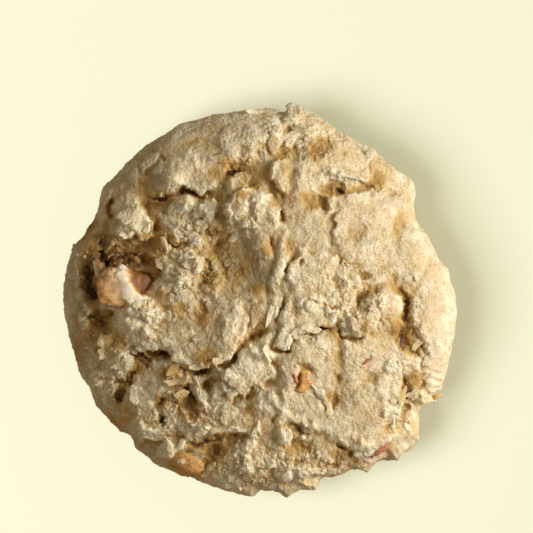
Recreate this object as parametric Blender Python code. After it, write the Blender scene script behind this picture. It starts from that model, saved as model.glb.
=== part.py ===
"""A thick, crumbly oatmeal and apple cookie, lying on its flat baked base.

Units are metres and +Z is up. The origin is on the base, under the middle of the cookie's box.
The body of dough is one solid: a dome with an uneven rim, raised plates of crust and the cracks
between them. Four pieces of fruit show at its top, and each sits in a pocket of the dough.
"""

import math

import bmesh
import bpy
import numpy as np

MM = 0.001

# Driving sizes of the dough
WAIST_RADIUS = 39.0 * MM
WAIST_HEIGHT = 8.0 * MM
CROWN_HEIGHT = 20.6 * MM
BASE_SHARE = 0.88
DOME_FULLNESS = 2.7
CROWN_ROUNDNESS = 2.0
GRID_CELLS = 48
SKIRT_RINGS = 6
RIM_DENSITY = 0.36
RELIEF_FADE = 0.10
SIDE_LUMP = 0.45 * MM

# Gap between a piece of fruit and the pocket that holds it
POCKET_GAP = 0.3 * MM

# The rim's swellings and dips: azimuth and half width in degrees, then size
RIM_SWELLINGS = (
    ("right_shoulder", -3, 17, 1.0 * MM),
    ("upper_right_dip", 24, 8, -3.4 * MM),
    ("top_crumb", 78, 4, 1.8 * MM),
    ("upper_left_dip", 152, 5, -1.1 * MM),
    ("left_bulge", 175, 14, 1.0 * MM),
    ("lower_left_dip", 229, 4, -0.8 * MM),
    ("bottom_crumb", 264, 4, 1.0 * MM),
    ("bottom_dip", 270, 3, -0.8 * MM),
    ("lower_right_corner", 315, 9, 4.1 * MM),
    ("lower_right_notch", 325, 3, -2.2 * MM),
    ("right_corner", 333, 8, 2.1 * MM),
)

# Raised plates of crust: place of the middle, half length, half width, turn in degrees, rise
CRUST_PLATES = (
    ("left_plate", -13.0, -5.5, 11.5, 9.0, -20, 1.5),
    ("upper_right_plate", 25.0, 13.5, 12.5, 9.0, -15, 1.4),
    ("top_right_mass", 14.5, 30.0, 9.0, 5.5, -35, 1.2),
    ("top_left_crust", -15.0, 31.0, 14.0, 5.5, 30, 0.9),
    ("upper_middle_plate", -1.5, 18.5, 6.0, 4.5, 0, 1.2),
    ("centre_plate", 10.0, -1.0, 6.5, 5.5, 0, 0.9),
    ("lower_right_plate", 15.5, -19.5, 13.0, 10.5, -35, 1.3),
    ("left_chunk", -26.0, 17.5, 4.5, 5.0, 0, 1.2),
    ("lower_left_cluster", -20.0, -21.0, 8.5, 5.0, -10, 0.8),
    ("right_rim", 35.0, -5.0, 4.5, 12.0, 5, 0.7),
)

# Cracks and hollows: the two ends of the middle line, half width, depth
CRACKS = (
    ("under_left_plate_a", -24.0, -10.5, -13.0, -14.0, 1.8, 2.6),
    ("under_left_plate_b", -13.0, -14.0, -2.5, -7.0, 1.6, 2.8),
    ("middle_trough", -2.0, -5.5, 4.0, 8.0, 1.8, 1.5),
    ("grey_hollow", -4.0, 14.0, -1.0, 3.0, 4.0, 1.6),
    ("shaded_valley", -4.5, 29.0, 3.5, 23.0, 2.6, 3.0),
    ("valley_tail", 3.5, 23.0, 4.8, 15.5, 1.2, 1.8),
    ("left_gap", -32.0, 17.5, -23.0, 8.5, 2.0, 2.4),
    ("left_edge_hollow", -36.0, 5.0, -34.0, -3.0, 2.0, 2.2),
    ("upper_left_crack", -22.0, 22.0, -11.0, 22.0, 1.8, 2.0),
    ("top_right_crack", 4.5, 30.0, 11.0, 29.5, 1.4, 2.0),
    ("right_crack_a", 12.5, 22.0, 21.0, 24.0, 1.5, 2.0),
    ("right_crack_b", 21.0, 24.0, 27.5, 22.0, 1.3, 1.6),
    ("right_valley_a", 27.0, 4.0, 29.5, -4.5, 1.5, 1.7),
    ("right_valley_b", 29.5, -4.5, 33.5, -9.5, 2.2, 2.0),
    ("lower_crack", 6.0, -8.0, 16.0, -5.5, 1.2, 1.3),
    ("lower_right_cavity", 29.5, -14.5, 31.5, -20.0, 2.2, 3.0),
    ("lower_left_hole", -15.5, -17.0, -14.0, -22.5, 1.9, 2.6),
    ("lower_step_a", -25.0, -27.5, -15.5, -28.5, 1.9, 2.3),
    ("lower_step_b", -15.5, -28.5, -1.0, -26.5, 2.0, 2.0),
    ("small_hole", 6.5, -25.0, 9.5, -27.0, 1.6, 1.8),
    ("bottom_right_crack", 14.5, -28.5, 19.5, -31.0, 1.3, 1.4),
)

# Fruit: place of the middle, length, width, depth, turn and tilt in degrees, how far it stands proud
FRUIT_PIECES = (
    ("fruit_left", -26.6, 3.2, 11.4, 8.4, 5.6, -8, 8, 1.3),
    ("fruit_lower_left", -14.6, -32.4, 7.6, 4.6, 4.2, -28, 30, 0.9),
    ("fruit_centre", 8.7, -16.0, 5.2, 4.6, 4.4, 20, 0, 0.3),
    ("fruit_skin", 24.8, -29.6, 4.6, 1.9, 1.8, 42, 0, 0.5),
)
BLOCK_SQUARENESS = 4.5
BLOCK_CUTS = 4

DOUGH_COLOUR = (0.66, 0.54, 0.37, 1.0)
FRUIT_COLOUR = (0.72, 0.34, 0.13, 1.0)
SKIN_COLOUR = (0.62, 0.27, 0.16, 1.0)


def clear_scene():
    for obj in list(bpy.data.objects):
        bpy.data.objects.remove(obj)


def make_material(name, colour, roughness):
    material = bpy.data.materials.new(name)
    material.use_nodes = True
    shader = material.node_tree.nodes["Principled BSDF"]
    shader.inputs["Base Color"].default_value = colour
    shader.inputs["Roughness"].default_value = roughness
    shader.inputs["Metallic"].default_value = 0.0
    return material


def rim_radius(azimuth):
    """The waist's radius at each azimuth: a circle plus a soft bump for each swelling."""
    radius = np.full_like(azimuth, WAIST_RADIUS)
    for _, centre, half_width, size in RIM_SWELLINGS:
        away = azimuth - math.radians(centre)
        away = np.arctan2(np.sin(away), np.cos(away))
        radius += size * np.exp(-((away / math.radians(half_width)) ** 2))
    return radius


def plate_relief(x, y):
    """Flat-topped mounds: each falls off steeply at the edge of its turned ellipse."""
    rise = np.zeros_like(x)
    for _, centre_x, centre_y, half_length, half_width, turn, height in CRUST_PLATES:
        dx = x - centre_x * MM
        dy = y - centre_y * MM
        cos_turn = math.cos(math.radians(turn))
        sin_turn = math.sin(math.radians(turn))
        along = (dx * cos_turn + dy * sin_turn) / (half_length * MM)
        across = (dy * cos_turn - dx * sin_turn) / (half_width * MM)
        rise += height * MM * np.exp(-((along**2 + across**2) ** 2))
    return rise


def crack_relief(x, y):
    """Rounded grooves: each is deepest along its middle line and shallow at its two ends."""
    drop = np.zeros_like(x)
    for _, x0, y0, x1, y1, half_width, depth in CRACKS:
        run_x = (x1 - x0) * MM
        run_y = (y1 - y0) * MM
        dx = x - x0 * MM
        dy = y - y0 * MM
        share = np.clip((dx * run_x + dy * run_y) / (run_x**2 + run_y**2), 0, 1)
        distance = np.hypot(dx - share * run_x, dy - share * run_y)
        groove = depth * MM * np.exp(-((distance / (half_width * MM)) ** 2))
        drop = np.maximum(drop, groove)
    return -drop


def side_lumps(azimuth, height):
    """Low swellings of the crumbly side, from three waves that run round and up it."""
    first = np.sin(11 * azimuth + 380 * height)
    second = np.sin(19 * azimuth - 520 * height + 1.0)
    third = np.sin(31 * azimuth + 700 * height + 2.0)
    return SIDE_LUMP * (0.5 * first + 0.3 * second + 0.2 * third)


def dome_height(x, y):
    """The top surface over a place: the dome of the rim's radius there, with plates and cracks."""
    share = np.hypot(x, y) / rim_radius(np.arctan2(y, x))
    crown = (1 - np.minimum(share, 1) ** DOME_FULLNESS) ** (1 / CROWN_ROUNDNESS)
    fade = np.clip((1 - share) / RELIEF_FADE, 0, 1)
    height = WAIST_HEIGHT + (CROWN_HEIGHT - WAIST_HEIGHT) * crown
    return height + fade * (plate_relief(x, y) + crack_relief(x, y))


def disc_grid():
    """A square grid of points drawn onto the rim's disc, each square loop becoming a round one."""
    step = np.linspace(-1, 1, GRID_CELLS + 1)
    u, v = np.meshgrid(step, step, indexing="ij")
    reach = np.maximum(np.abs(u), np.abs(v))
    flat = np.abs(u) >= np.abs(v)
    ratio = np.where(flat, v, u) / np.where(reach > 0, np.where(flat, u, v), 1)
    azimuth = np.where(flat, 0.25 * math.pi * ratio, 0.5 * math.pi - 0.25 * math.pi * ratio)
    azimuth += np.where(np.where(flat, u, v) < 0, math.pi, 0)
    share = (1 + RIM_DENSITY) * reach - RIM_DENSITY * reach**3
    radius = share * rim_radius(azimuth)
    return radius * np.cos(azimuth), radius * np.sin(azimuth)


def grid_border():
    """The grid places along its edge, in order round the square."""
    last = GRID_CELLS
    run = range(last)
    border = [(i, 0) for i in run] + [(last, i) for i in run]
    return border + [(last - i, last) for i in run] + [(0, last - i) for i in run]


def make_dough(material):
    """The dome on its grid, then loops that curl from the waist in to the base, and the flat base."""
    mesh = bmesh.new()
    x, y = disc_grid()
    z = dome_height(x, y)
    grid = [[mesh.verts.new(point) for point in zip(*row)] for row in zip(x, y, z)]
    for i in range(GRID_CELLS):
        for j in range(GRID_CELLS):
            corners = (grid[i][j], grid[i + 1][j], grid[i + 1][j + 1], grid[i][j + 1])
            mesh.faces.new(corners)
    border = grid_border()
    azimuth = np.array([math.atan2(y[place], x[place]) for place in border])
    radius = rim_radius(azimuth)
    upper = [grid[i][j] for i, j in border]
    for ring in range(1, SKIRT_RINGS + 1):
        turn = 0.5 * math.pi * ring / SKIRT_RINGS
        share = BASE_SHARE + (1 - BASE_SHARE) * math.cos(turn)
        height = WAIST_HEIGHT * (1 - math.sin(turn))
        reach = share * radius + side_lumps(azimuth, height) * math.sin(2 * turn)
        ring_x = reach * np.cos(azimuth)
        ring_y = reach * np.sin(azimuth)
        lower = [mesh.verts.new((px, py, height)) for px, py in zip(ring_x, ring_y)]
        for i in range(len(border)):
            j = (i + 1) % len(border)
            mesh.faces.new((upper[i], upper[j], lower[j], lower[i]))
        upper = lower
    mesh.faces.new(upper)
    bmesh.ops.triangulate(mesh, faces=mesh.faces)
    return mesh_object("dough", mesh, material)


def mesh_object(name, mesh, material):
    bmesh.ops.recalc_face_normals(mesh, faces=mesh.faces)
    data = bpy.data.meshes.new(name)
    mesh.to_mesh(data)
    mesh.free()
    data.materials.append(material)
    data.shade_smooth()
    obj = bpy.data.objects.new(name, data)
    bpy.context.scene.collection.objects.link(obj)
    return obj


def make_block(name, length, width, depth, material):
    """A diced piece: a cube drawn onto a rounded block, with one end a little narrower."""
    mesh = bmesh.new()
    bmesh.ops.create_cube(mesh, size=2.0)
    bmesh.ops.subdivide_edges(mesh, edges=mesh.edges, cuts=BLOCK_CUTS, use_grid_fill=True)
    for vert in mesh.verts:
        reach = sum(abs(part) ** BLOCK_SQUARENESS for part in vert.co)
        vert.co /= reach ** (1 / BLOCK_SQUARENESS)
        narrowing = 1 - 0.12 * vert.co.x
        vert.co.x *= 0.5 * length
        vert.co.y *= 0.5 * width * narrowing
        vert.co.z *= 0.5 * depth
    bmesh.ops.triangulate(mesh, faces=mesh.faces)
    return mesh_object(name, mesh, material)


def place(obj, location, turn, tilt):
    obj.location = location
    obj.rotation_euler = (math.radians(tilt), 0.0, math.radians(turn))


def set_fruit_in(dough, name, x, y, length, width, depth, turn, tilt, proud, material):
    """Puts a block into the dough's top and cuts a pocket round it, wider by the gap."""
    surface = float(dome_height(np.array([x * MM]), np.array([y * MM]))[0])
    middle = (x * MM, y * MM, surface + (proud - 0.5 * depth) * MM)
    block = make_block(name, length * MM, width * MM, depth * MM, material)
    place(block, middle, turn, tilt)
    wider = 2 * POCKET_GAP
    cutter = make_block(
        name + "_pocket",
        length * MM + wider,
        width * MM + wider,
        depth * MM + wider,
        material,
    )
    place(cutter, middle, turn, tilt)
    cutter.hide_render = True
    cutter.display_type = "WIRE"
    pocket = dough.modifiers.new(name + "_pocket", "BOOLEAN")
    pocket.object = cutter
    pocket.operation = "DIFFERENCE"
    pocket.solver = "EXACT"
    return block, cutter


def centre_on_box(dough, others):
    """Hangs every piece on one empty, moved so that the dough's box is centred on the origin."""
    places = np.array([vert.co[:2] for vert in dough.data.vertices])
    middle = 0.5 * (places.min(axis=0) + places.max(axis=0))
    cookie = bpy.data.objects.new("cookie", None)
    bpy.context.scene.collection.objects.link(cookie)
    cookie.location = (-middle[0], -middle[1], 0.0)
    for obj in (dough, *others):
        obj.parent = cookie


def build():
    clear_scene()
    dough_material = make_material("dough", DOUGH_COLOUR, 0.8)
    fruit_material = make_material("fruit", FRUIT_COLOUR, 0.45)
    skin_material = make_material("fruit_skin", SKIN_COLOUR, 0.4)
    dough = make_dough(dough_material)
    others = []
    for piece in FRUIT_PIECES:
        material = skin_material if piece[0] == "fruit_skin" else fruit_material
        others += set_fruit_in(dough, *piece, material)
    centre_on_box(dough, others)


build()
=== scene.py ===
# %% [markdown]
# # An oatmeal and apple cookie
# A drop cookie is a spoonful of stiff oat dough baked on a flat tray. It hardly spreads, so it
# stays thick, and its top dries and cracks into plates while the crumb between them stays soft and
# brown. This lesson builds one from numpy arrays: a dome, the plates and cracks on it, the crumb,
# and then the things in the dough, which are fruit, oat flakes and loose crumbs.

# %% Load the frame that the cookie is built around
import math
import bpy
import numpy as np
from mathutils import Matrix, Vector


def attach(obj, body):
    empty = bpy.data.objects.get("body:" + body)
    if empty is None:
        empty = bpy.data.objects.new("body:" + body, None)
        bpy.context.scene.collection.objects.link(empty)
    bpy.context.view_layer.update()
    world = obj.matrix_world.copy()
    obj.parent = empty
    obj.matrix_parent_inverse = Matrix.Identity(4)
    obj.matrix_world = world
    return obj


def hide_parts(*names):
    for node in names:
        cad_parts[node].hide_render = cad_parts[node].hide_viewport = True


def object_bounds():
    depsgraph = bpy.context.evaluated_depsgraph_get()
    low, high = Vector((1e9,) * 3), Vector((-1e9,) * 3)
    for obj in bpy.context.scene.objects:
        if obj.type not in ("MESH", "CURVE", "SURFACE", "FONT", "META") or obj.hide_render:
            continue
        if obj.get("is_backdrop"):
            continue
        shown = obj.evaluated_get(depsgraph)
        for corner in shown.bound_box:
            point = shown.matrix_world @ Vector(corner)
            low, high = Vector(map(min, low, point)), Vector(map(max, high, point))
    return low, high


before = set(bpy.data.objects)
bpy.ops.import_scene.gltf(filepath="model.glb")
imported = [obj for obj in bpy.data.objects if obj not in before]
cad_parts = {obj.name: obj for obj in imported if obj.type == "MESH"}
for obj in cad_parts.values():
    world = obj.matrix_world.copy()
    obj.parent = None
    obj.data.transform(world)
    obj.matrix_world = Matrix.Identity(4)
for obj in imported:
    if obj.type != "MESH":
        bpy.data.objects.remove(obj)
CAD_BOX = [list(corner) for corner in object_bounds()]
MM = 0.001
print("box of the solids in mm:", [[round(side / MM, 1) for side in corner] for corner in CAD_BOX])

# %% [markdown]
# ## Places read from the photograph
# The picture looks straight down, so a place on it is a place on the cookie. All shapes below are
# worked out in millimetres, with the origin under the middle of the cookie.

# %% Turn picture places into millimetres
PICTURE_WIDTH_OF_COOKIE = 391.0
COOKIE_WIDTH = 80.0
PIXEL = COOKIE_WIDTH / PICTURE_WIDTH_OF_COOKIE
PICTURE_MIDDLE = (259.5, 301.0)


def from_picture(places):
    """Pixels, counted from the picture's upper left corner, as millimetres right and up."""
    places = np.asarray(places, float)
    right = (places[..., 0] - PICTURE_MIDDLE[0]) * PIXEL
    up = (PICTURE_MIDDLE[1] - places[..., 1]) * PIXEL
    return np.stack([right, up], axis=-1)


print("one pixel is", round(PIXEL, 4), "mm")

# %% [markdown]
# ## Randomness that never changes
# Crumb is random, but the cookie has to come out the same each time. So every random number is
# worked out from the whole-number place of a lattice cell, by multiplying and shifting it, and a
# seed.

# %% Numbers, clouds and cells from a lattice


def scramble(cells, seed):
    """A number from 0 to 1 for each lattice cell, by rounds of multiplying and shifting its
    place."""
    x, y, z = (cells[..., axis].astype(np.int64).astype(np.uint32) for axis in range(3))
    mixed = x * np.uint32(374761393) + y * np.uint32(668265263) + z * np.uint32(2246822519)
    mixed = mixed + np.uint32(seed * 3266489917 % 2**32)
    mixed = (mixed ^ (mixed >> np.uint32(15))) * np.uint32(2246822519)
    mixed = (mixed ^ (mixed >> np.uint32(13))) * np.uint32(3266489917)
    return (mixed ^ (mixed >> np.uint32(16))) / 2.0**32


def three_numbers(cells, seed):
    """Three numbers from 0 to 1 for each lattice cell."""
    return np.stack([scramble(cells, seed + axis) for axis in range(3)], axis=-1)


def cloud(points, size, seed):
    """Smooth noise from -1 to 1: a random number at each corner of cubes of that size, blended
    between the corners with 3t^2 - 2t^3."""
    place = points / size
    corner = np.floor(place).astype(np.int64)
    part = place - corner
    part = part * part * (3 - 2 * part)
    total = 0.0
    for step in np.ndindex(2, 2, 2):
        weight = np.prod(np.where(np.array(step) == 1, part, 1 - part), axis=-1)
        total = total + weight * scramble(corner + np.array(step), seed)
    return 2 * total - 1


def clouds(points, size, seed, layers=3):
    """Clouds on clouds: each layer has half the size and half the strength of the one before."""
    total = sum(cloud(points, size / 2**k, seed + k) / 2**k for k in range(layers))
    return total / (2 - 0.5 ** (layers - 1))


def cells_of(points, size, seed):
    """Which random seed point each point is nearest to, in a lattice with one seed to a cube.
    Returns the distances to the nearest and the next, in units of the cube's side, and the cube
    that owns the nearest."""
    place = points / size
    home = np.floor(place).astype(np.int64)
    nearest = np.full(len(points), 9.0)
    following = nearest.copy()
    owner = home.copy()
    for step in np.ndindex(3, 3, 3):
        cube = home + np.array(step) - 1
        offset = place - cube - 0.05 - 0.9 * three_numbers(cube, seed)
        distance = np.sqrt((offset**2).sum(axis=-1))
        closer = distance < nearest
        following = np.where(closer, nearest, np.minimum(following, distance))
        nearest = np.where(closer, distance, nearest)
        owner[closer] = cube[closer]
    return nearest, following, owner


def scales(points, size, seed, lean=0.5):
    """Overlapping flakes: each lattice cube holds a ball with its own reach, height and lean, and
    the surface is the highest flake whose ball holds the point. Height is from about -0.5 to 1,
    where -0.5 is bare ground between the flakes."""
    place = points / size
    home = np.floor(place).astype(np.int64)
    height = np.full(len(points), -0.5)
    for step in np.ndindex(3, 3, 3):
        cube = home + np.array(step) - 1
        offset = place - cube - three_numbers(cube, seed)
        reach = 0.45 + 0.40 * scramble(cube, seed + 41)
        slope = three_numbers(cube, seed + 42) - 0.5
        share = np.sqrt((offset**2).sum(axis=-1)) / reach
        flake = scramble(cube, seed + 45) - 0.35 + 2 * lean * (slope * offset).sum(axis=-1)
        flake = flake - 0.12 * share**4
        height = np.where(share < 1, np.maximum(height, flake), height)
    return height


def grains(points, size, seed):
    """Rounded grains packed side by side: each cell is the cap of a ball, from 0 to 1."""
    nearest, _, owner = cells_of(points, size, seed)
    reach = 0.55 + 0.4 * scramble(owner, seed + 31)
    return np.sqrt(np.clip(1 - (nearest / reach) ** 2, 0, 1))


def crests(points, size, seed, layers=3):
    """Sharp crests with soft troughs: one minus the size of a cloud, from 0 to 1, in layers that
    halve in size and strength."""
    total = sum((1 - abs(cloud(points, size / 2**k, seed + k))) / 2**k for k in range(layers))
    return total / (2 - 0.5 ** (layers - 1))


def terraces(points, size, steps, seed):
    """Torn layers: clouds cut into flat steps with short steep sides, from -1 to 1."""
    height = clouds(points, size, seed, 3) * steps
    whole = np.floor(height)
    return (whole + ramp(height - whole, 0.66, 1.0)) / steps


def foam(points, size, seed):
    """Open sponge: the share of the way from the nearest seed point to the wall between two, so
    each cell is a pit with ragged walls, from 0 to 1."""
    nearest, following, owner = cells_of(points, size, seed)
    share = nearest / np.maximum(0.5 * (nearest + following), 1e-6)
    return 1 - (1 - share) * (0.3 + 0.7 * scramble(owner, seed + 31))


def ramp(value, low, high):
    """0 below low and 1 above high, with 3t^2 - 2t^3 between."""
    t = np.clip((value - low) / (high - low), 0, 1)
    return t * t * (3 - 2 * t)


def level(x, y):
    """Points at height 0, on which clouds over x and y are read."""
    return np.stack([x, y, np.zeros_like(x)], axis=-1)


# %% [markdown]
# ## The outline
# The cookie is nearly round, but it has a flat dip at the upper right, a corner with a notch at the
# lower right and small crumbs that stick out. The outline's places are read from the picture and
# turned into a radius for each direction, so that a loop of any size can be drawn with it.

# %% The radius of the rim in each direction
OUTLINE = (
    (64, 300), (65, 280), (69, 260), (71, 250), (82, 236), (90, 224), (98, 212), (101, 195),
    (103, 187), (116, 175), (126, 164), (133, 156), (147, 144), (163, 135), (180, 125), (196, 121),
    (210, 117), (228, 114), (250, 112), (275, 113), (284, 114), (289, 108), (300, 105), (306, 110),
    (322, 119), (335, 131), (353, 141), (371, 150), (382, 159), (400, 172), (412, 183), (415, 195),
    (413.5, 205), (415, 215), (419, 230), (428, 234), (432, 244), (440, 262), (447, 268),
    (451, 283), (455, 300), (455, 320), (452, 347), (446, 372), (440, 390), (435, 402), (431, 396),
    (420, 397), (413, 400), (417, 411), (419, 425), (418, 440), (408, 450), (396, 460), (388, 456),
    (378, 462), (367, 472), (355, 467.5), (343, 475), (334, 477.5), (325, 476), (318, 480),
    (316, 490), (300, 489), (287, 495.5), (276, 491), (265, 486), (252, 496), (240, 494),
    (222, 489), (205, 483), (190, 476), (175, 473), (155, 463), (143, 453), (134, 445), (134, 434),
    (120, 431), (106, 417), (97, 405), (91, 387), (80, 367), (74, 350), (67, 322),
)
outline_mm = from_picture(OUTLINE)
outline_azimuth = np.arctan2(outline_mm[:, 1], outline_mm[:, 0])
outline_order = np.argsort(outline_azimuth)


def rim_radius(azimuth):
    """Millimetres from the middle to the rim: straight steps between the outline's places."""
    turned = (azimuth + np.pi) % (2 * np.pi) - np.pi
    radius = np.hypot(outline_mm[:, 0], outline_mm[:, 1])
    return np.interp(
        turned, outline_azimuth[outline_order], radius[outline_order], period=2 * np.pi
    )


RIM_BLUR = math.radians(9)


def soft_rim_radius(azimuth):
    """The rim radius averaged over RIM_BLUR to both sides, by nine equal steps."""
    return sum(rim_radius(azimuth + step) for step in np.linspace(-RIM_BLUR, RIM_BLUR, 9)) / 9


def ragged_rim_radius(azimuth, away):
    """The rim radius with small clouds on it, which are strongest at the crumbly lower side. They
    change above and below the rim, where away is more or less than 0."""
    ring = np.stack([40 * np.cos(azimuth), 40 * np.sin(azimuth), 7 * away + 0 * azimuth], axis=-1)
    strength = 0.12 + 0.30 * ramp(-np.sin(azimuth), 0.2, 0.8)
    return rim_radius(azimuth) + strength * clouds(ring, 1.8, 131, 3)


def wandered(azimuth, away):
    """The azimuth shifted sideways by a cloud that grows away from the rim, so that a corner of the
    outline bends above and below it, as a crumb would, and isn't an upright ridge."""
    ring = np.stack([8 * np.cos(azimuth), 8 * np.sin(azimuth), 6 * away], axis=-1)
    return azimuth + 0.14 * np.abs(away) * cloud(ring, 2.0, 136)


def radius_at(azimuth, share):
    """Millimetres from the middle at a share of the radius. The rim's corners fade out inwards, or
    each would crease the whole dome up to its middle."""
    away = np.clip((1 - share) / 0.10, 0, 1)
    moved = wandered(azimuth, away)
    corner = ragged_rim_radius(moved, away) - soft_rim_radius(moved)
    return share * (soft_rim_radius(azimuth) + corner * ramp(away, 1.0, 0.0))


print("rim radius in mm:", rim_radius(np.linspace(0, 2 * np.pi, 9)).round(1))

# %% [markdown]
# ## A grid that closes without a pole
# A round thing could be made of rings round a pole, but then the middle has slivers and the rim has
# long faces. Here a square grid is drawn onto the disc instead: each square loop becomes a round
# one, so all faces are about the same size.

# %% A square grid drawn onto a disc
EVEN_SHARE = 0.8


def square_to_disc(cells):
    """Azimuth and reach, from 0 to 1, for the points of a square grid. The reach is the larger of
    |u| and |v|, and the azimuth runs evenly along each side of a square loop."""
    step = np.linspace(-1, 1, cells + 1)
    u, v = np.meshgrid(step, step, indexing="ij")
    reach = np.maximum(np.abs(u), np.abs(v))
    sideways = np.abs(u) >= np.abs(v)
    main = np.where(sideways, u, v)
    ratio = np.where(sideways, v, u) / np.where(reach > 0, main, 1)
    azimuth = 0.25 * np.pi * ratio
    azimuth = np.where(sideways, azimuth, 0.5 * np.pi - azimuth) + np.where(main < 0, np.pi, 0)
    return azimuth, reach


def disc_grid(cells):
    """Azimuth and share of the radius. The share grows evenly out to EVEN_SHARE of the reach and
    then slows to a stop, because the dome drops steeply there."""
    azimuth, reach = square_to_disc(cells)
    pace = 2 / (1 + EVEN_SHARE)
    slowing = 1 - 0.5 * pace / (1 - EVEN_SHARE) * (1 - reach) ** 2
    return azimuth, np.where(reach < EVEN_SHARE, pace * reach, slowing)


def border_of(cells):
    """The indices of the grid's edge in order round it, as two arrays."""
    run = np.arange(cells)
    row = np.concatenate([run, np.full(cells, cells), cells - run, np.zeros(cells, int)])
    column = np.concatenate([np.zeros(cells, int), run, np.full(cells, cells), cells - run])
    return row, column


def grid_faces(numbers):
    """Squares between neighbours in a two-way table of vertex numbers."""
    return np.stack(
        [numbers[:-1, :-1], numbers[1:, :-1], numbers[1:, 1:], numbers[:-1, 1:]], axis=-1
    ).reshape(-1, 4)


# %% [markdown]
# ## The dome
# The dough slumps into a low dome that is widest a little above the tray, because its foot dries
# first. Its profile is a superellipse: the share of the radius to one power plus the share of the
# height to another make one.

# %% The height of the plain dome
WAIST_HEIGHT = 8.0
CROWN_HEIGHT = 20.2
BASE_SHARE = 0.90
DOME_FULLNESS = 3.1
LEFT_LEAN = 0.075
LEFT_LEAN_FROM = 6.0


def lean_of(x, share):
    """Millimetres that the left half sinks: a slope from LEFT_LEAN_FROM to the left that starts
    softly and ends at the rim."""
    along = np.maximum(LEFT_LEAN_FROM - x, 0)
    return LEFT_LEAN * along * along / (along + 6.0) * ramp(1 - share, 0.0, 0.35)


def dome(share):
    """Height in mm over a share of the radius."""
    crown = np.sqrt(np.clip(1 - np.clip(share, 0, 1) ** DOME_FULLNESS, 0, 1))
    return WAIST_HEIGHT + (CROWN_HEIGHT - WAIST_HEIGHT) * crown
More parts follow.
